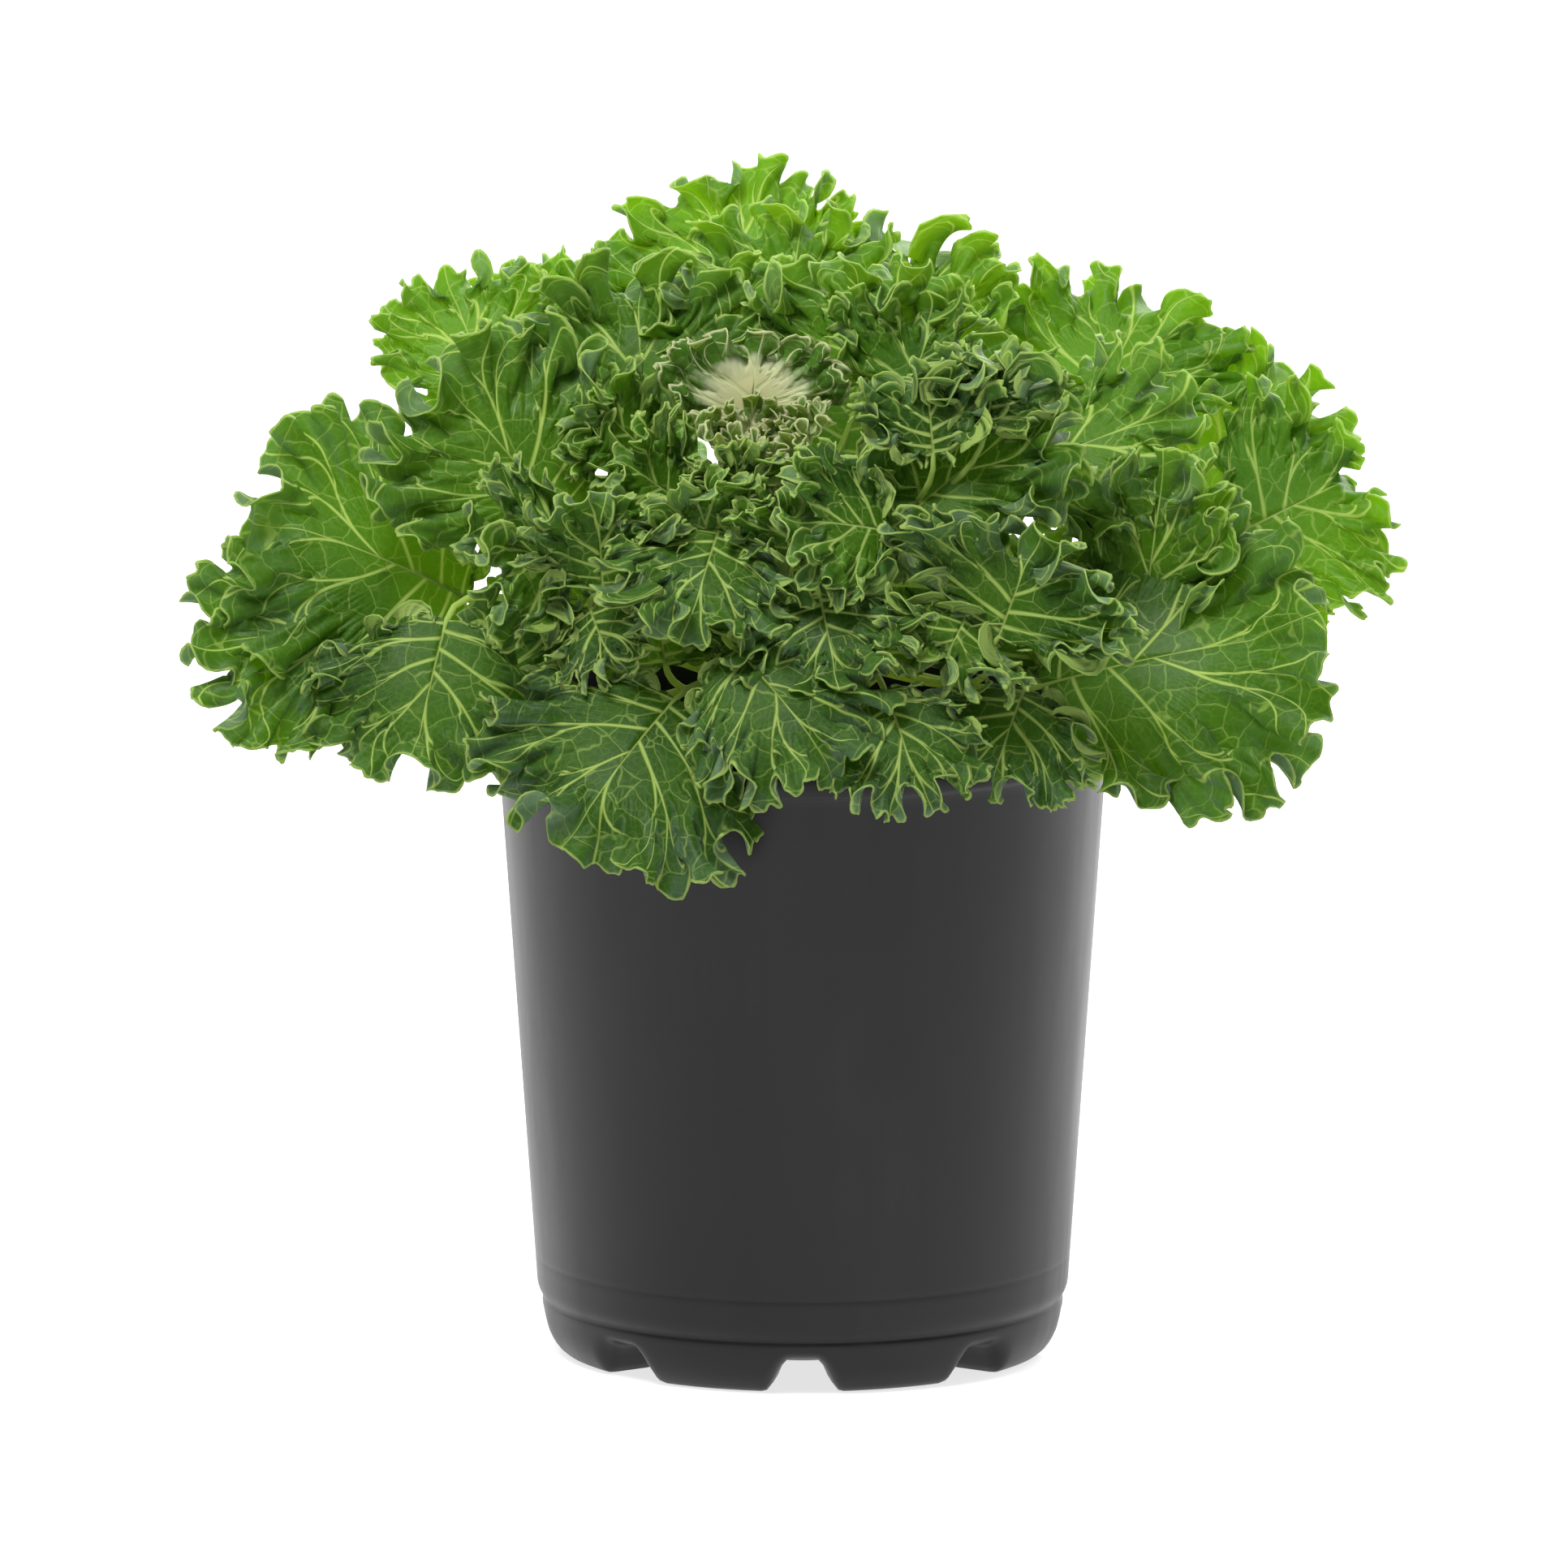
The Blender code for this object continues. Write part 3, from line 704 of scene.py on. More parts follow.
def mesh_from(name, parts):
    """A mesh of quads with float and vector attributes on its points, from one or more parts."""
    points = np.concatenate([part["points"] for part in parts])
    starts = np.cumsum([0] + [len(part["points"]) for part in parts])
    quads = np.concatenate([part["quads"] + start for part, start in zip(parts, starts)])
    mesh = bpy.data.meshes.new(name)
    mesh.vertices.add(len(points))
    mesh.vertices.foreach_set("co", points.astype(np.float32).ravel())
    mesh.loops.add(len(quads) * 4)
    mesh.loops.foreach_set("vertex_index", quads.astype(np.int32).ravel())
    mesh.polygons.add(len(quads))
    mesh.polygons.foreach_set("loop_start", np.arange(0, len(quads) * 4, 4, dtype=np.int32))
    mesh.polygons.foreach_set("use_smooth", np.ones(len(quads), dtype=bool))
    mesh.update(calc_edges=True)
    for label in NUMBERS:
        values = np.concatenate([part[label] for part in parts]).astype(np.float32)
        mesh.attributes.new(label, "FLOAT", "POINT").data.foreach_set("value", values)
    values = np.concatenate([part["flat"] for part in parts]).astype(np.float32)
    mesh.attributes.new("flat", "FLOAT_VECTOR", "POINT").data.foreach_set("vector", values.ravel())
    mesh.validate()
    return mesh


def blade_part(data, seed):
    """One blade as a closed thin sheet: two skins and the rim between them."""
    rays, steps = data["phase"].shape
    count = rays * steps
    half = 0.00022 + 0.0003 * np.exp(-data["rib"] / 0.004)
    top = data["points"] - data["normals"] * half[..., None]
    bottom = data["points"] + data["normals"] * half[..., None]
    upper = grid_faces(rays, steps, 0, True)
    lower = grid_faces(rays, steps, count, False)
    loop = np.concatenate(
        (
            np.arange(rays) * steps + steps - 1,
            (rays - 1) * steps + np.arange(steps - 2, -1, -1),
            np.arange(rays - 2, -1, -1) * steps,
            np.arange(1, steps),
        )
    )
    rim = np.stack((loop[:-1], loop[:-1] + count, loop[1:] + count, loop[1:]), axis=-1)
    part = {key: np.tile(data[key].ravel(), 2) for key in NUMBERS if key != "under"}
    part["under"] = np.repeat((0.0, 1.0), count)
    part["points"] = np.concatenate((top.reshape(-1, 3), bottom.reshape(-1, 3)))
    part["quads"] = np.concatenate((upper, lower, rim))
    part["flat"] = np.full((count * 2, 3), seed)
    part["flat"][:, :2] = np.tile(data["flat"].reshape(-1, 2), (2, 1))
    return part


def hermite(start, leave, end, arrive, count):
    """Points on a smooth curve between two places with a direction at each."""
    t = np.linspace(0, 1, count)[:, None]
    return (
        (2 * t**3 - 3 * t**2 + 1) * start
        + (t**3 - 2 * t**2 + t) * leave
        + (3 * t**2 - 2 * t**3) * end
        + (t**3 - t**2) * arrive
    )


def tube_part(path, radii, facing, seed):
    """A closed tube of quads round a path, flatter in the direction that it faces."""
    around_count = 10
    ahead = np.gradient(path, axis=0)
    ahead = ahead / np.linalg.norm(ahead, axis=1, keepdims=True)
    side = np.cross(ahead, facing)
    side = side / (np.linalg.norm(side, axis=1, keepdims=True) + 1e-9)
    over = np.cross(side, ahead)
    turn = np.linspace(0, math.tau, around_count, endpoint=False)
    ring = side[:, None] * np.cos(turn)[None, :, None] + over[:, None] * 0.7 * np.sin(turn)[None, :, None]
    points = (path[:, None] + ring * radii[:, None, None]).reshape(-1, 3)
    rings = len(path)
    index = np.arange(rings * around_count).reshape(rings, around_count)
    after = np.roll(index, -1, axis=1)
    quads = np.stack((index[:-1], index[1:], after[1:], after[:-1]), axis=-1).reshape(-1, 4)
    count = len(points)
    length = np.linalg.norm(np.diff(path, axis=0), axis=1)
    flat = np.full((count, 3), seed)
    flat[:, 0] = np.tile(0.002 * np.sin(turn), rings)
    flat[:, 1] = np.repeat(np.concatenate(([0], np.cumsum(length))), around_count)
    part = {"points": points, "quads": quads, "flat": flat}
    # Stalks take fixed fills, among them a middling share of painted backlight
    fills = {"phase": 0.3, "spacing": 0.02, "reach": 0.0, "edge": 1.0, "rib": 0.0, "under": 0.0, "turned": 0.0, "painted_backlight": 0.6}
    for key, value in fills.items():
        part[key] = np.full(count, value)
    return part


def stalk_part(leaf, data, seed):
    """The stalk from the stem to the blade and on along the midrib, as one tapering tube."""
    points = data["points"]
    middle = points.shape[0] // 2
    steps = points.shape[1]
    spine = np.concatenate((points[: middle + 1 : 8, 0], points[middle, 2 : int(steps * 0.8) : 2]))
    zero = np.zeros((1, 1, 1))
    start = on_bowl([leaf], zero, zero)[0, 0, 0]
    out = on_bowl([leaf], zero, zero + 0.01)[0, 0, 0]
    length = np.linalg.norm(spine[0] - start)
    leave = unit(out - start) * length
    arrive = unit(spine[3] - spine[0]) * length * 0.8
    stalk = hermite(start, leave, spine[0], arrive, 14)
    path = np.concatenate((stalk, spine[2:]))
    share = np.concatenate((np.zeros(13), np.linspace(0, 1, len(path) - 13)))
    radii = leaf["thickness"] * (0.27 * (1 - share) ** 1.6 + 0.02)
    radii[:13] = leaf["thickness"] * np.linspace(0.55, 0.32, 13)
    face = -unit(data["normals"].mean(axis=(0, 1)))
    return tube_part(path, radii, np.tile(face, (len(path), 1)), seed)


def srgb(red, green, blue):
    """Linear colour of screen values from 0 to 255."""
    return tuple((value / 255) ** 2.2 for value in (red, green, blue)) + (1.0,)


class Nodes:
    """Short calls that add shader nodes to a material."""

    def __init__(self, material):
        material.use_nodes = True
        self.tree = material.node_tree
        self.tree.nodes.clear()

    def add(self, kind, inputs=(), **settings):
        node = self.tree.nodes.new(kind)
        for key, value in settings.items():
            setattr(node, key, value)
        for socket, value in dict(inputs).items():
            self.put(node.inputs[socket], value)
        return node

    def put(self, socket, value):
        if isinstance(value, bpy.types.NodeSocket):
            self.tree.links.new(value, socket)
        else:
            socket.default_value = value

    def math(self, operation, first, second=0.0, third=0.0):
        node = self.add("ShaderNodeMath", operation=operation)
        for socket, value in zip(node.inputs, (first, second, third)):
            self.put(socket, value)
        return node.outputs[0]

    def number(self, name):
        return self.add("ShaderNodeAttribute", attribute_name=name).outputs["Fac"]

    def vector(self, name):
        return self.add("ShaderNodeAttribute", attribute_name=name).outputs["Vector"]

    def ramp(self, value, from_low, from_high, to_low=0.0, to_high=1.0, smooth=True):
        node = self.add("ShaderNodeMapRange", interpolation_type="SMOOTHSTEP" if smooth else "LINEAR")
        for socket, number in zip(node.inputs, (value, from_low, from_high, to_low, to_high)):
            self.put(socket, number)
        return node.outputs[0]

    def mix(self, share, first, second, blend="MIX"):
        node = self.add("ShaderNodeMix", data_type="RGBA", blend_type=blend)
        self.put(node.inputs["Factor"], share)
        self.put(node.inputs[6], first)
        self.put(node.inputs[7], second)
        return node.outputs[2]

    def noise(self, vector, scale, detail=2.0, rough=0.5):
        inputs = {"Vector": vector, "Scale": scale, "Detail": detail, "Roughness": rough}
        return self.add("ShaderNodeTexNoise", inputs).outputs["Fac"]

    def cells(self, vector, scale):
        inputs = {"Vector": vector, "Scale": scale}
        return self.add("ShaderNodeTexVoronoi", inputs, feature="DISTANCE_TO_EDGE").outputs["Distance"]


# Per kind: dark green, light green, underside, vein and light shining through
PALETTES = {
    "outer_leaf": (srgb(34, 66, 10), srgb(66, 106, 24), srgb(110, 134, 104), srgb(176, 200, 106), srgb(196, 236, 80)),
    "middle_leaf": (srgb(38, 74, 10), srgb(78, 120, 26), srgb(114, 142, 100), srgb(182, 208, 110), srgb(204, 240, 80)),
    "inner_leaf": (srgb(42, 82, 10), srgb(88, 136, 30), srgb(118, 150, 96), srgb(188, 216, 116), srgb(210, 242, 90)),
    "heart_leaf": (srgb(38, 80, 20), srgb(78, 126, 38), srgb(124, 154, 94), srgb(222, 224, 174), srgb(226, 238, 150)),
    "yellow_leaf": (srgb(150, 120, 30), srgb(214, 178, 48), srgb(196, 170, 90), srgb(226, 206, 130), srgb(240, 210, 90)),
}
# Painted backlight: a brighter, yellower green for blades behind the pot's axis, and a dimmer shine-through colour for
# the blades in front as painted shade
BACKLIT_GREEN = srgb(98, 152, 18)
SHADE_GLOW = srgb(96, 138, 24)
# Grey-blue of the waxy bloom, which the material paints as sheen on the turned parts of the blades
WAX_SHEEN = srgb(116, 144, 118)


def main_veins(n, reach):
    """1 on the main veins. They fork twice on their way out: each fork folds the distance once more."""
    phase = n.number("phase")
    nearest = n.math("ROUND", phase)
    first = n.math("ABSOLUTE", n.math("SUBTRACT", phase, nearest))
    chance = n.math("FRACT", n.math("MULTIPLY", nearest, 0.37))
    begin = n.math("MULTIPLY_ADD", chance, 0.22, 0.16)
    past = n.math("MAXIMUM", n.math("SUBTRACT", reach, begin), 0.0)
    second = n.math("ABSOLUTE", n.math("SUBTRACT", first, n.math("MULTIPLY", past, 0.40)))
    past = n.math("MAXIMUM", n.math("SUBTRACT", reach, n.math("ADD", begin, 0.27)), 0.0)
    third = n.math("ABSOLUTE", n.math("SUBTRACT", second, n.math("MULTIPLY", past, 0.30)))
    away = n.math("MULTIPLY", third, n.number("spacing"))
    width = n.ramp(reach, 0.0, 0.9, 0.00120, 0.00038, smooth=False)
    lines = n.ramp(n.math("DIVIDE", away, width), 0.25, 1.0, 1.0, 0.0)
    rib = n.ramp(n.number("rib"), 0.0002, 0.0009, 1.0, 0.0)
    return n.math("MAXIMUM", lines, rib)


def leaf_material(kind):
    """Veined, waxy leaf that light shines through, with painted backlight on the blades behind the pot's axis and
    painted sheen on its turned parts.
    """
    made = bpy.data.materials.new(kind)
    n = Nodes(made)
    dark, light, pale, vein_colour, shine = PALETTES[kind]
    flat = n.vector("flat")
    reach = n.number("reach")
    under = n.number("under")
    turned = n.number("turned")
    main = main_veins(n, reach)
    wobble = n.add("ShaderNodeTexNoise", {"Vector": flat, "Scale": 90.0, "Detail": 2.0}).outputs["Color"]
    shift = n.add("ShaderNodeVectorMath", {0: wobble, 1: (0.5, 0.5, 0.5)}, operation="SUBTRACT").outputs[0]
    shift = n.add("ShaderNodeVectorMath", {0: shift, "Scale": 0.006}, operation="SCALE").outputs[0]
    bent = n.add("ShaderNodeVectorMath", {0: flat, 1: shift}, operation="ADD").outputs[0]
    wide_cells = n.cells(bent, 105.0)
    wide_net = n.ramp(wide_cells, 0.0, 0.035, 1.0, 0.0)
    fine_net = n.ramp(n.cells(bent, 330.0), 0.0, 0.07, 1.0, 0.0)
    net = n.math("MAXIMUM", n.math("MULTIPLY", wide_net, 0.42), n.math("MULTIPLY", fine_net, 0.12))
    veins = n.math("MAXIMUM", n.math("MULTIPLY", main, 0.9), net)
    patches = n.ramp(n.noise(flat, 34.0, 3.0), 0.32, 0.68)
    chance = n.math("FRACT", n.math("MULTIPLY", n.add("ShaderNodeSeparateXYZ", {0: flat}).outputs[2], 7.0))
    green = n.mix(n.math("MULTIPLY_ADD", patches, 0.6, n.math("MULTIPLY", chance, 0.4)), dark, light)
    speckle = n.ramp(n.noise(flat, 700.0, 2.0), 0.3, 0.7, 0.88, 1.10)
    speckle = n.add("ShaderNodeCombineColor", {0: speckle, 1: speckle, 2: speckle}).outputs[0]
    green = n.mix(1.0, green, speckle, "MULTIPLY")
    # Painted backlight: blades further behind the pot's axis are mixed towards a brighter, yellower green
    painted_backlight = n.math("MULTIPLY", n.number("painted_backlight"), 0.0 if kind == "yellow_leaf" else 0.45)
    green = n.mix(painted_backlight, green, BACKLIT_GREEN)
    below = n.mix(n.math("MULTIPLY", patches, 0.3), pale, light)
    green = n.mix(n.math("MULTIPLY", under, 0.85), green, below)
    # Partly the leaf's own waxy bloom, in patches and towards the margin, and partly painted sheen on the parts that
    # turn away from the blade's middle; painted backlight lessens it
    wax_and_sheen = n.math("ADD", n.math("MULTIPLY", turned, 1.1), n.math("MULTIPLY", reach, 0.35))
    wax_and_sheen = n.math("MULTIPLY", wax_and_sheen, n.ramp(n.noise(flat, 55.0, 3.0), 0.25, 0.75, 0.3, 1.0))
    share = {"outer_leaf": 0.75, "middle_leaf": 0.65, "inner_leaf": 0.35}.get(kind, 0.12)
    wax_and_sheen = n.math("MULTIPLY", n.ramp(wax_and_sheen, 0.1, 1.0, 0.0, share), n.math("SUBTRACT", 1.0, n.number("painted_backlight")))
    green = n.mix(wax_and_sheen, green, WAX_SHEEN)
    if kind == "heart_leaf":
        cream = n.mix(n.ramp(reach, 0.1, 0.6), srgb(226, 220, 168), srgb(222, 226, 186))
        spread = n.math("ADD", reach, n.math("MULTIPLY", n.math("SUBTRACT", n.noise(flat, 160.0, 3.0), 0.5), 0.5))
        spread = n.math("SUBTRACT", spread, n.math("MULTIPLY", main, 0.3))
        green = n.mix(n.ramp(spread, 0.42, 0.66), cream, green)
    colour = n.mix(veins, green, vein_colour)
    edge = n.ramp(n.number("edge"), 0.0003, 0.0009, 0.85, 0.0)
    colour = n.mix(edge, colour, vein_colour)
    height = n.math("SUBTRACT", wide_cells, n.math("MULTIPLY", main, 0.6))
    height = n.math("MULTIPLY", height, n.math("SUBTRACT", 1.0, n.math("MULTIPLY", under, 2.0)))
    height = n.math("ADD", height, n.math("MULTIPLY", n.noise(flat, 1400.0, 2.0), 0.10))
    bump = n.add("ShaderNodeBump", {"Strength": 0.40, "Distance": 0.0012, "Height": height}).outputs[0]
    rough = n.ramp(patches, 0.0, 1.0, 0.46, 0.60)
    finish = {"Base Color": colour, "Roughness": rough, "Normal": bump, "Specular IOR Level": 0.28}
    finish.update({"Sheen Weight": 0.05, "Sheen Roughness": 0.35, "Sheen Tint": srgb(205, 225, 225)})
    skin = n.add("ShaderNodeBsdfPrincipled", finish)
    # The colour that shines through is brighter on blades with painted backlight, and dimmer on the others as painted
    # shade
    glow = n.mix(n.math("MULTIPLY_ADD", n.number("painted_backlight"), 0.8, 0.2), SHADE_GLOW, shine)
    glow = n.mix(n.math("MULTIPLY", veins, 0.7), glow, srgb(236, 246, 170))
    through = n.add("ShaderNodeBsdfTranslucent", {"Color": glow, "Normal": bump})
    mixed = n.add("ShaderNodeMixShader", {0: 0.5, 1: skin.outputs[0], 2: through.outputs[0]})
    n.add("ShaderNodeOutputMaterial", {"Surface": mixed.outputs[0]})
    return made


def build_leaves():
    """All the blades, grown together, each leaf standing for its CAD leaf."""
    leaves = list_blades()
    grids = grow_sheets(leaves)
    across, along = flat_rays(leaves, *GRIDS[-1])
    flats = np.stack((across, along), axis=-1)
    surfaces = {kind: leaf_material(kind) for kind in HABIT}
    parts = {}
    for index, leaf in enumerate(leaves):
        rng = np.random.default_rng(100 + index)
        data = blade_data(leaf, grids[index].astype(float), flats[index], rng)
        seed = rng.uniform(0, 1)
        made = parts.setdefault(leaf["name"], [])
        made.append(blade_part(data, seed))
        made.append(stalk_part(leaf, data, seed))
    for name, made in parts.items():
        kind = name[:-3]
        mesh = mesh_from(name, made)
        mesh.materials.append(surfaces[kind])
        piece = bpy.data.objects.new("blade_" + name, mesh)
        bpy.context.scene.collection.objects.link(piece)
        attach(piece, "root")
        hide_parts(name)


def build_camera():
    data = bpy.data.cameras.new("camera")
    data.sensor_width = SENSOR_WIDTH
    data.lens = SENSOR_WIDTH * CAMERA_DISTANCE / VIEW_WIDTH
    data.shift_x, data.shift_y = CAMERA_SHIFT
    data.clip_end = 100
    camera = bpy.data.objects.new("camera", data)
    bpy.context.scene.collection.objects.link(camera)
    back = Vector((0, -math.cos(CAMERA_ELEVATION), math.sin(CAMERA_ELEVATION)))
    camera.location = CAMERA_TARGET + back * CAMERA_DISTANCE
    camera.rotation_euler = (-back).to_track_quat("-Z", "Y").to_euler()
    bpy.context.scene.camera = camera


def area_light(name, where, target, size, power):
    data = bpy.data.lights.new(name, "AREA")
    data.shape = "RECTANGLE"
    data.size, data.size_y = size
    data.energy = power
    lamp = bpy.data.objects.new(name, data)
    bpy.context.scene.collection.objects.link(lamp)
    lamp.location = where
    lamp.rotation_euler = (Vector(target) - Vector(where)).to_track_quat("-Z", "Y").to_euler()


def build_stage():
    """White floor, surroundings that are brightest behind the plant, and soft light from above and behind."""
    world = bpy.data.worlds.new("studio")
    bpy.context.scene.world = world
    n = Nodes(world)
    place = n.add("ShaderNodeTexCoord").outputs["Generated"]
    axes = n.add("ShaderNodeSeparateXYZ", {0: place}).outputs
    behind = n.ramp(axes["Y"], -0.5, 0.6, 0.16, 0.95)
    strength = n.ramp(axes["Z"], -0.1, 0.9, 0.0, 0.15)
    glow = n.add("ShaderNodeBackground", {"Color": (1, 1, 1, 1), "Strength": n.math("ADD", behind, strength)})
    n.add("ShaderNodeOutputWorld", {"Surface": glow.outputs[0]})
    area_light("key", (-0.55, -0.8, 1.9), (0, 0, 0.28), (0.8, 0.8), 46)
    area_light("back", (0.9, 1.4, 1.3), (0.05, 0, 0.28), (1.2, 1.2), 46)
    mesh = bpy.data.meshes.new("floor")
    side = 20
    mesh.from_pydata([(-side, -side, 0), (side, -side, 0), (side, side, 0), (-side, side, 0)], [], [(0, 1, 2, 3)])
    floor = bpy.data.objects.new("floor", mesh)
    bpy.context.scene.collection.objects.link(floor)
    white = bpy.data.materials.new("floor")
    n = Nodes(white)
    skin = n.add("ShaderNodeBsdfDiffuse", {"Color": (0.4, 0.4, 0.4, 1)})
    lit = n.add("ShaderNodeEmission", {"Color": (1, 1, 1, 1), "Strength": 0.75})
    both = n.add("ShaderNodeAddShader", {0: skin.outputs[0], 1: lit.outputs[0]})
    n.add("ShaderNodeOutputMaterial", {"Surface": both.outputs[0]})
    mesh.materials.append(white)
    bpy.context.scene.view_settings.view_transform = "Standard"


def wall_radius(height):
    """Outer radius of the pot's tapered wall."""
    share = (height - BELLY_HEIGHT) / (POT_HEIGHT - RIM_BAND - BELLY_HEIGHT)
    return BASE_RADIUS + (RIM_RADIUS - RIM_STEP - BASE_RADIUS) * share


def pot_profile():
    """The pot's section as (radius, height): from the floor's middle up the inside, over the rim and down again."""
    top = POT_HEIGHT - RIM_BAND
    band = BASE_RADIUS - STEP_DEPTH
    floor = FOOT_HEIGHT + WALL
    inside = [
        (0.0, floor),
        (0.040, floor),
        (band - WALL - 0.003, floor),
        (band - WALL - 0.0006, floor + 0.001),
        (band - WALL, STEP_HEIGHT - 0.001),
        (BASE_RADIUS - WALL - 0.0006, BELLY_HEIGHT - 0.004),
    ]
    inside += [(wall_radius(z) - WALL, z) for z in np.linspace(BELLY_HEIGHT, POT_HEIGHT - 0.001, 14)]
    lip = [
        (RIM_RADIUS - 0.0019, POT_HEIGHT - 0.0003),
        (RIM_RADIUS - 0.0014, POT_HEIGHT),
        (RIM_RADIUS - 0.0006, POT_HEIGHT),
        (RIM_RADIUS - 0.0001, POT_HEIGHT - 0.0004),
        (RIM_RADIUS, POT_HEIGHT - 0.0010),
    ]
    for height in (POT_HEIGHT - 0.0034, POT_HEIGHT - 0.0058):
        lip += [
            (RIM_RADIUS, height + 0.0005),
            (RIM_RADIUS - 0.0003, height + 0.0001),
            (RIM_RADIUS - 0.0003, height - 0.0001),
            (RIM_RADIUS, height - 0.0005),
        ]
    lip += [
        (RIM_RADIUS, top + 0.0016),
        (RIM_RADIUS - 0.0002, top + 0.0008),
        (wall_radius(top) + 0.0003, top + 0.0002),
        (wall_radius(top), top - 0.0006),
    ]
    wall = [(wall_radius(z), z) for z in np.linspace(top - 0.003, 0.0345, 40)]
    wall += [
        (wall_radius(0.0328), 0.0328),
        (wall_radius(0.0322) - 0.00018, 0.0322),
        (wall_radius(0.0316), 0.0316),
        (wall_radius(0.029), 0.029),
        (BASE_RADIUS + 0.0000, BELLY_HEIGHT),
        (BASE_RADIUS - 0.0001, 0.0240),
        (BASE_RADIUS - 0.0004, 0.0222),
        (BASE_RADIUS - 0.0009, 0.0207),
        (BASE_RADIUS - 0.0015, 0.0196),
        (band - 0.0001, 0.0188),
        (band - 0.0003, 0.0181),
        (band - 0.0001, 0.0174),
        (band + 0.0001, 0.0165),
        (band, 0.0150),
        (band - 0.0001, 0.0135),
        (band - 0.0003, 0.0118),
        (band - 0.0007, 0.0100),
        (band - 0.0013, 0.0080),
        (band - 0.0022, 0.0060),
        (band - 0.0034, 0.0040),
        (band - 0.0048, 0.0022),
        (band - 0.0064, 0.0009),
        (FOOT_OUTER + 0.0010, 0.0002),
        (FOOT_OUTER - 0.0012, 0.0),
    ]
    foot = [
        (FOOT_INNER + 0.0100, 0.0),
        (FOOT_INNER + 0.0050, 0.0),
        (FOOT_INNER + 0.0024, 0.0),
        (FOOT_INNER + 0.0010, 0.0003),
        (FOOT_INNER + 0.0002, 0.0012),
        (FOOT_INNER, 0.0030),
        (FOOT_INNER, FOOT_HEIGHT - 0.0010),
        (FOOT_INNER - 0.0010, FOOT_HEIGHT),
        (PAD_RADIUS + PAD_SLOPE + 0.001, FOOT_HEIGHT),
        (PAD_RADIUS + PAD_SLOPE, FOOT_HEIGHT - 0.0006),
        (PAD_RADIUS + 0.0006, 0.0006),
        (PAD_RADIUS - 0.0004, 0.0),
        (0.0, 0.0),
    ]
    return inside + lip + wall + foot


def lift_feet(radius, height, turn):
    """Raises the lower band between the feet, so that a soft arch is left there."""
    pitch = math.tau / FOOT_COUNT
    offset = (turn + math.pi / 2 + pitch / 2) % pitch - pitch / 2
    away = np.abs(offset) * BASE_RADIUS
    near, far = NOTCH_HALF_WIDTHS
    arch = FOOT_HEIGHT * (1 - smoothstep(near, far, away))
    share = np.clip(1 - height / NOTCH_TOP, 0, 1) * smoothstep(PAD_RADIUS + 0.012, FOOT_INNER - 0.002, radius)
    return height + (arch * share)


def revolve(profile, segments):
    """Vertices, quads and end triangles of a profile that starts and ends on the axis."""
    turn = np.linspace(0, math.tau, segments, endpoint=False)
    radius = np.array([point[0] for point in profile[1:-1]])[:, None]
    height = np.array([point[1] for point in profile[1:-1]])[:, None] + 0 * turn
    rings = np.stack((radius * np.cos(turn), radius * np.sin(turn), height), axis=-1)
    rows = len(profile) - 2
    index = np.arange(rows * segments).reshape(rows, segments)
    after = np.roll(index, -1, axis=1)
    faces = np.stack((index[:-1], index[1:], after[1:], after[:-1]), axis=-1).reshape(-1, 4).tolist()
    first, last = rows * segments, rows * segments + 1
    faces += [(first, index[0, i], after[0, i]) for i in range(segments)]
    faces += [(last, after[-1, i], index[-1, i]) for i in range(segments)]
    return rings, faces, turn, radius


def new_piece(name, points, faces, surface, node):
    """A smooth-shaded piece on the root body that stands for a CAD node."""
    mesh = bpy.data.meshes.new(name)
    mesh.from_pydata([tuple(map(float, point)) for point in points], [], [tuple(map(int, face)) for face in faces])
    mesh.polygons.foreach_set("use_smooth", np.ones(len(mesh.polygons), dtype=bool))
    mesh.validate()
    mesh.materials.append(surface)
    piece = bpy.data.objects.new(name, mesh)
    bpy.context.scene.collection.objects.link(piece)
    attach(piece, "root")
    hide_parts(node)
    return piece


def plastic_material():
    """Black blow-moulded plastic: satin, faintly uneven, with light dust, rub marks and a paler grey towards the
    bottom.
    """
    made = bpy.data.materials.new("pot_plastic")
    n = Nodes(made)
    place = n.add("ShaderNodeTexCoord").outputs["Object"]
    stretched = n.add("ShaderNodeVectorMath", {0: place, 1: (1.0, 1.0, 0.12)}, operation="MULTIPLY").outputs[0]
    streaks = n.noise(stretched, 60.0, 4.0, 0.6)
    cloud = n.noise(place, 14.0, 3.0)
    grain = n.noise(place, 900.0, 2.0)
    # Light dust in clouds along the streaks
    pale_share = n.math("MULTIPLY", n.ramp(cloud, 0.45, 0.75), n.ramp(streaks, 0.4, 0.8))
    height = n.add("ShaderNodeSeparateXYZ", {0: place}).outputs[2]
    # Lighter towards the bottom: the lowest 3 cm are mixed towards the paler grey
    pale_share = n.math("ADD", n.math("MULTIPLY", pale_share, 0.5), n.ramp(height, 0.0, 0.03, 0.12, 0.0))
    colour = n.mix(pale_share, srgb(17, 17, 18), srgb(46, 45, 44))
    rough = n.math("ADD", n.ramp(streaks, 0.2, 0.8, 0.30, 0.40), n.math("MULTIPLY", pale_share, 0.15))
    bumps = n.math("ADD", n.math("MULTIPLY", grain, 0.10), n.math("MULTIPLY", n.noise(place, 45.0, 2.0), 1.0))
    bump = n.add("ShaderNodeBump", {"Strength": 0.10, "Distance": 0.0010, "Height": bumps}).outputs[0]
    finish = {"Base Color": colour, "Roughness": rough, "Normal": bump, "Specular IOR Level": 0.34}
    skin = n.add("ShaderNodeBsdfPrincipled", finish)
    n.add("ShaderNodeOutputMaterial", {"Surface": skin.outputs[0]})
    return made


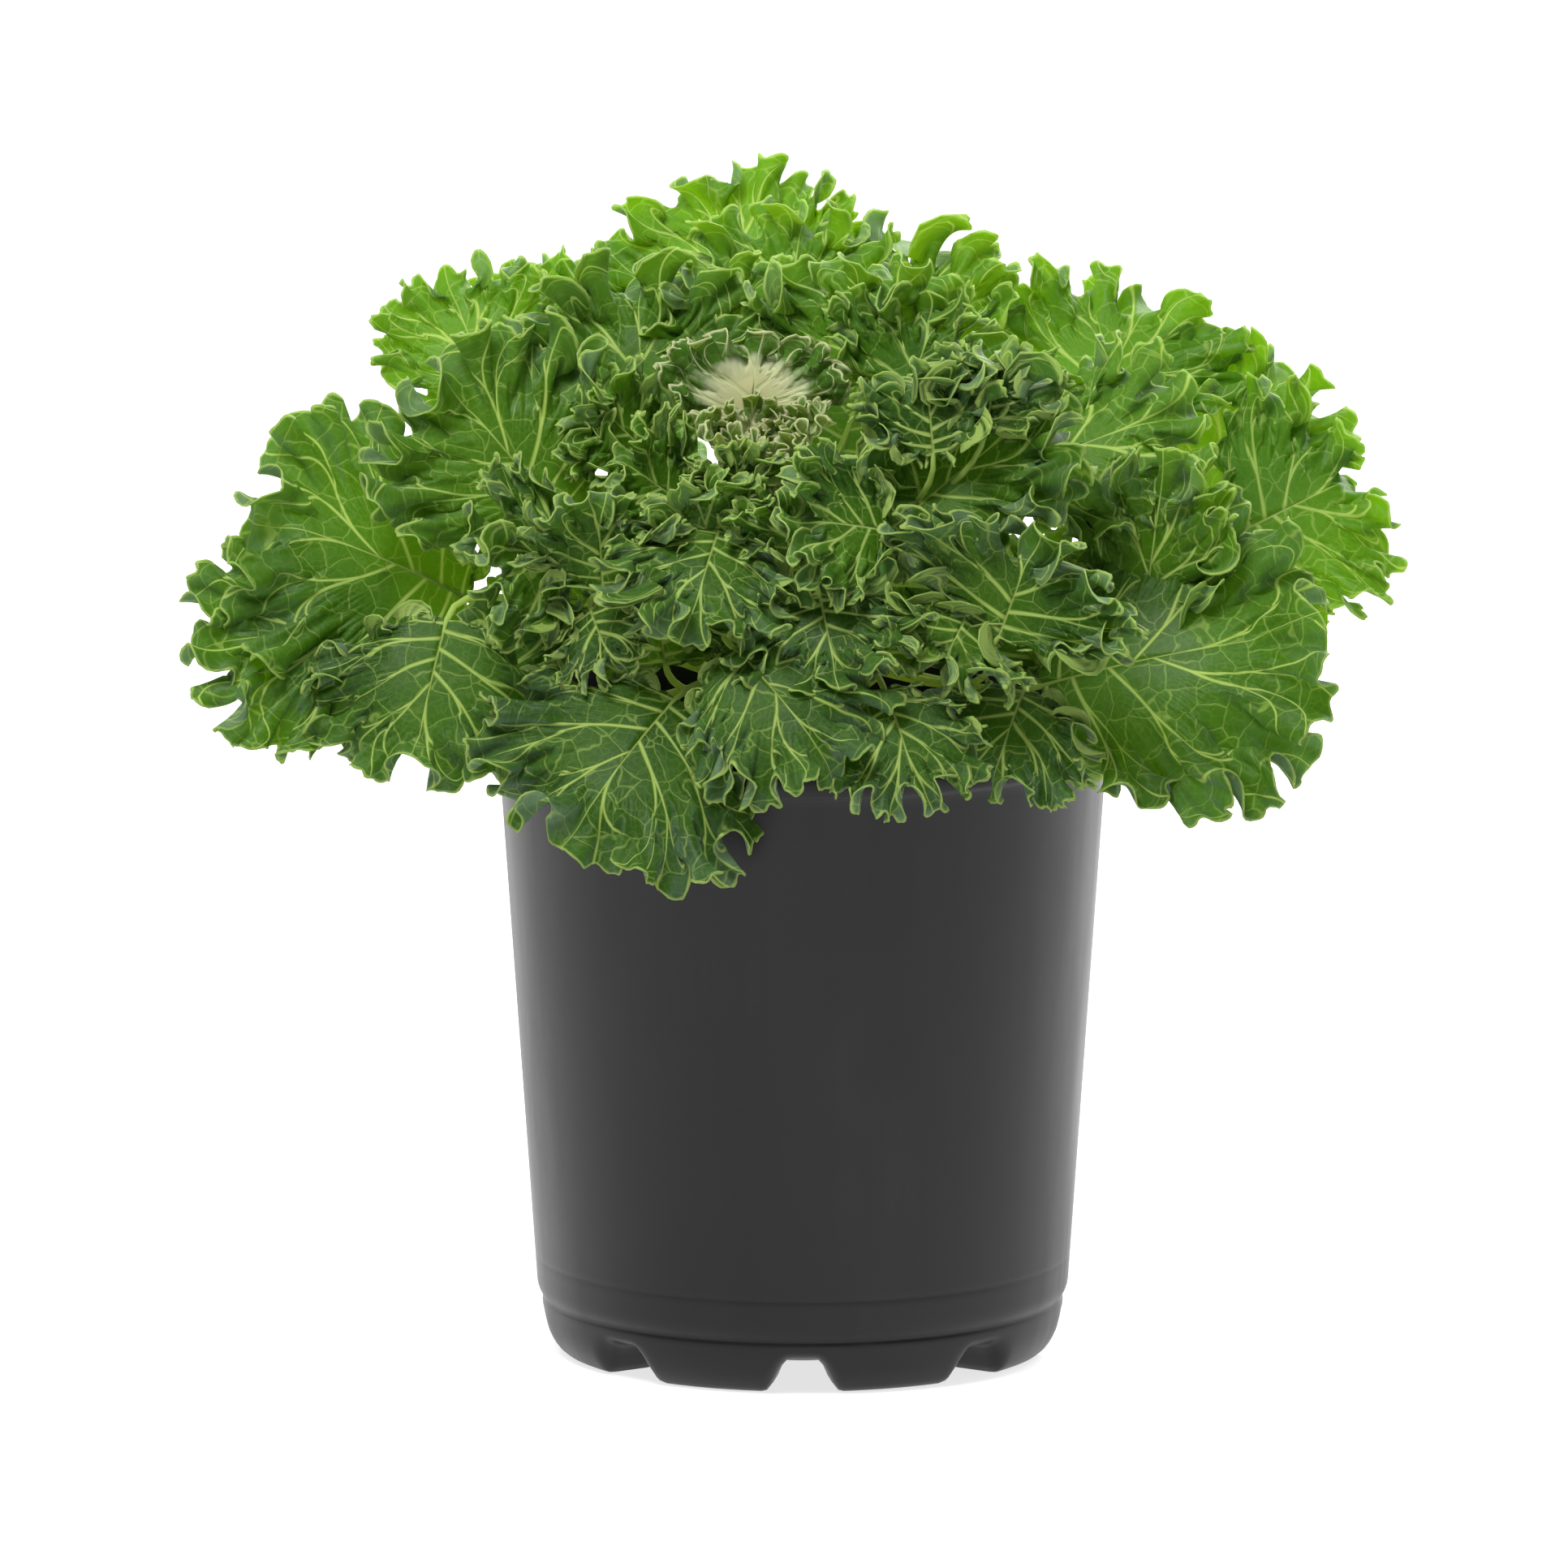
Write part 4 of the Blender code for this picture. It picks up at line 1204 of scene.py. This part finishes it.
def build_pot():
    """The pot: rim band with fine grooves, tapered wall, rolled step and eight soft feet with drain holes."""
    profile = pot_profile()
    rings, faces, turn, radius = revolve(profile, POT_SEGMENTS)
    inner = 6 + 14
    rings[inner:, :, 2] = lift_feet(radius[inner:], rings[inner:, :, 2], turn[None])
    ends = [(0, 0, profile[0][1]), (0, 0, profile[-1][1])]
    points = np.concatenate((rings.reshape(-1, 3), ends))
    piece = new_piece("pot_shell", points, faces, plastic_material(), "nursery_pot")
    drains = bpy.data.meshes.new("drains")
    corners = []
    sides = []
    for number in range(FOOT_COUNT):
        middle = math.tau * number / FOOT_COUNT - math.pi / 2
        start = len(corners)
        for height in (FOOT_HEIGHT - 0.006, FOOT_HEIGHT + 0.006):
            for step in range(24):
                angle = math.tau * step / 24
                x = DRAIN_CIRCLE * math.cos(middle) + DRAIN_RADIUS * math.cos(angle)
                y = DRAIN_CIRCLE * math.sin(middle) + DRAIN_RADIUS * math.sin(angle)
                corners.append((x, y, height))
        for step in range(24):
            after = (step + 1) % 24
            sides.append((start + step, start + after, start + 24 + after, start + 24 + step))
        sides.append([start + step for step in range(23, -1, -1)])
        sides.append([start + 24 + step for step in range(24)])
    drains.from_pydata(corners, [], sides)
    cutter = bpy.data.objects.new("drains", drains)
    bpy.context.scene.collection.objects.link(cutter)
    holes = piece.modifiers.new("drains", "BOOLEAN")
    holes.operation = "DIFFERENCE"
    holes.object = cutter
    bpy.context.view_layer.update()
    cut = bpy.data.meshes.new_from_object(piece.evaluated_get(bpy.context.evaluated_depsgraph_get()))
    piece.modifiers.clear()
    piece.data = cut
    bpy.data.objects.remove(cutter)


def soil_material():
    """Dark peat with paler bark and a few white grains."""
    made = bpy.data.materials.new("potting_mix_look")
    n = Nodes(made)
    place = n.add("ShaderNodeTexCoord").outputs["Object"]
    clumps = n.noise(place, 220.0, 5.0, 0.65)
    fibres = n.noise(place, 900.0, 3.0, 0.6)
    colour = n.mix(n.ramp(clumps, 0.35, 0.65), srgb(26, 18, 12), srgb(72, 52, 36))
    colour = n.mix(n.ramp(fibres, 0.62, 0.78, 0.0, 0.7), colour, srgb(112, 84, 56))
    grains = n.ramp(n.noise(place, 420.0, 0.0), 0.74, 0.80)
    colour = n.mix(grains, colour, srgb(190, 184, 170))
    height = n.math("ADD", clumps, n.math("MULTIPLY", fibres, 0.4))
    bump = n.add("ShaderNodeBump", {"Strength": 0.8, "Distance": 0.0015, "Height": height}).outputs[0]
    finish = {"Base Color": colour, "Roughness": 0.95, "Normal": bump, "Specular IOR Level": 0.2}
    skin = n.add("ShaderNodeBsdfPrincipled", finish)
    n.add("ShaderNodeOutputMaterial", {"Surface": skin.outputs[0]})
    return made


def crumb(rng, middle, size):
    """Points and triangles of one angular crumb of bark or peat."""
    corners = np.array([(1, 0, 0), (-1, 0, 0), (0, 1, 0), (0, -1, 0), (0, 0, 1), (0, 0, -1)], dtype=float)
    corners = corners * size * rng.uniform(0.5, 1.2, (6, 1)) * np.array((1.4, 0.9, 0.6))
    turn = rng.uniform(0, math.tau)
    cos, sin = math.cos(turn), math.sin(turn)
    corners = corners @ np.array(((cos, sin, 0), (-sin, cos, 0), (0, 0, 1)))
    faces = [(0, 2, 4), (2, 1, 4), (1, 3, 4), (3, 0, 4), (2, 0, 5), (1, 2, 5), (3, 1, 5), (0, 3, 5)]
    return corners + middle, faces


def build_soil():
    """Potting mix that fills the pot, with an uneven top and loose crumbs."""
    edge = wall_radius(SOIL_TOP) - WALL - SOIL_GAP
    band = BASE_RADIUS - STEP_DEPTH - WALL - SOIL_GAP
    floor = FOOT_HEIGHT + WALL + SOIL_GAP
    top = [(0.0, SOIL_TOP + SOIL_MOUND)]
    for radius in np.linspace(0.0015, edge, 64):
        height = SOIL_TOP + SOIL_MOUND * (1 - (radius / edge) ** 2)
        top.append((radius, height))
    under = [(wall_radius(BELLY_HEIGHT) - WALL - SOIL_GAP, BELLY_HEIGHT), (band, STEP_HEIGHT), (band - 0.001, floor)]
    rings, faces, turn, radius = revolve(top + under + [(0.0, floor)], 200)
    for row in range(63):
        for column_number in range(200):
            x, y, z = rings[row, column_number]
            lumps = noise.fractal(Vector((x, y, 0)) * 90, 0.8, 2.0, 4)
            rings[row, column_number, 2] = z + 0.0016 * lumps
    ends = [(0, 0, top[0][1]), (0, 0, floor)]
    points = [np.concatenate((rings.reshape(-1, 3), ends))]
    faces = [face[::-1] for face in faces]
    rng = np.random.default_rng(23)
    count = len(points[0])
    for _ in range(CRUMBS):
        away = edge * math.sqrt(rng.uniform(0.02, 0.96))
        angle = rng.uniform(0, math.tau)
        x, y = away * math.cos(angle), away * math.sin(angle)
        lumps = noise.fractal(Vector((x, y, 0)) * 90, 0.8, 2.0, 4)
        z = SOIL_TOP + SOIL_MOUND * (1 - (away / edge) ** 2) + 0.0016 * lumps
        corners, sides = crumb(rng, np.array((x, y, z)), rng.uniform(0.0008, 0.0026))
        points.append(corners)
        faces += [tuple(number + count for number in side) for side in sides]
        count += 6
    new_piece("potting_mix_crumbs", np.concatenate(points), faces, soil_material(), "potting_mix")


def stem_material():
    """Pale green stem with corky leaf scars."""
    made = bpy.data.materials.new("stem_look")
    n = Nodes(made)
    place = n.add("ShaderNodeTexCoord").outputs["Object"]
    long = n.add("ShaderNodeVectorMath", {0: place, 1: (1.0, 1.0, 0.2)}, operation="MULTIPLY").outputs[0]
    streaks = n.noise(long, 500.0, 3.0, 0.6)
    cork = n.ramp(n.noise(place, 130.0, 4.0, 0.6), 0.45, 0.65)
    height = n.add("ShaderNodeSeparateXYZ", {0: place}).outputs[2]
    colour = n.mix(streaks, srgb(112, 128, 66), srgb(162, 172, 104))
    cork = n.math("MULTIPLY", cork, n.ramp(height, 0.20, 0.26, 0.9, 0.25))
    colour = n.mix(cork, colour, srgb(120, 98, 68))
    bump = n.add("ShaderNodeBump", {"Strength": 0.5, "Distance": 0.0008, "Height": streaks}).outputs[0]
    finish = {"Base Color": colour, "Roughness": 0.6, "Normal": bump}
    skin = n.add("ShaderNodeBsdfPrincipled", finish)
    n.add("ShaderNodeOutputMaterial", {"Surface": skin.outputs[0]})
    return made


def build_stem():
    """The short thick stem, ringed with the scars of old leaves, from its foot in the potting mix to the crown."""
    right, back, up = rosette_frame()
    turn = np.linspace(0, math.tau, 48, endpoint=False)
    outward = right * np.cos(turn)[:, None] + back * np.sin(turn)[:, None]
    rings = []
    for height in np.linspace(0, STEM_LENGTH, 90):
        scars = 0.00035 * math.sin(height * 900) * np.sin(turn * 2 + height * 400)
        radius = float(stem_radius(np.array(height))) + scars * (height < CROWN_START)
        rings.append(stem_base() + up * height + outward * radius[:, None])
    foot = np.array(((STEM_FOOT[0], STEM_FOOT[1], STEM_FOOT[2] + SOIL_GAP),))
    for share in (0.66, 0.33, 0.02):
        middle = foot[0] + (stem_base() - foot[0]) * share
        rings.insert(0, middle + outward * STEM_RADIUS)
    rings = np.array(rings)
    rows = len(rings)
    index = np.arange(rows * 48).reshape(rows, 48)
    after = np.roll(index, -1, axis=1)
    faces = np.stack((index[:-1], after[:-1], after[1:], index[1:]), axis=-1).reshape(-1, 4).tolist()
    tip = stem_base() + up * STEM_LENGTH
    ends = np.array((foot[0], tip))
    faces += [(rows * 48, after[0, i], index[0, i]) for i in range(48)]
    faces += [(rows * 48 + 1, index[-1, i], after[-1, i]) for i in range(48)]
    new_piece("stem_scarred", np.concatenate((rings.reshape(-1, 3), ends)), faces, stem_material(), "stem")


build_camera()
build_stage()
build_pot()
build_soil()
build_stem()
build_leaves()
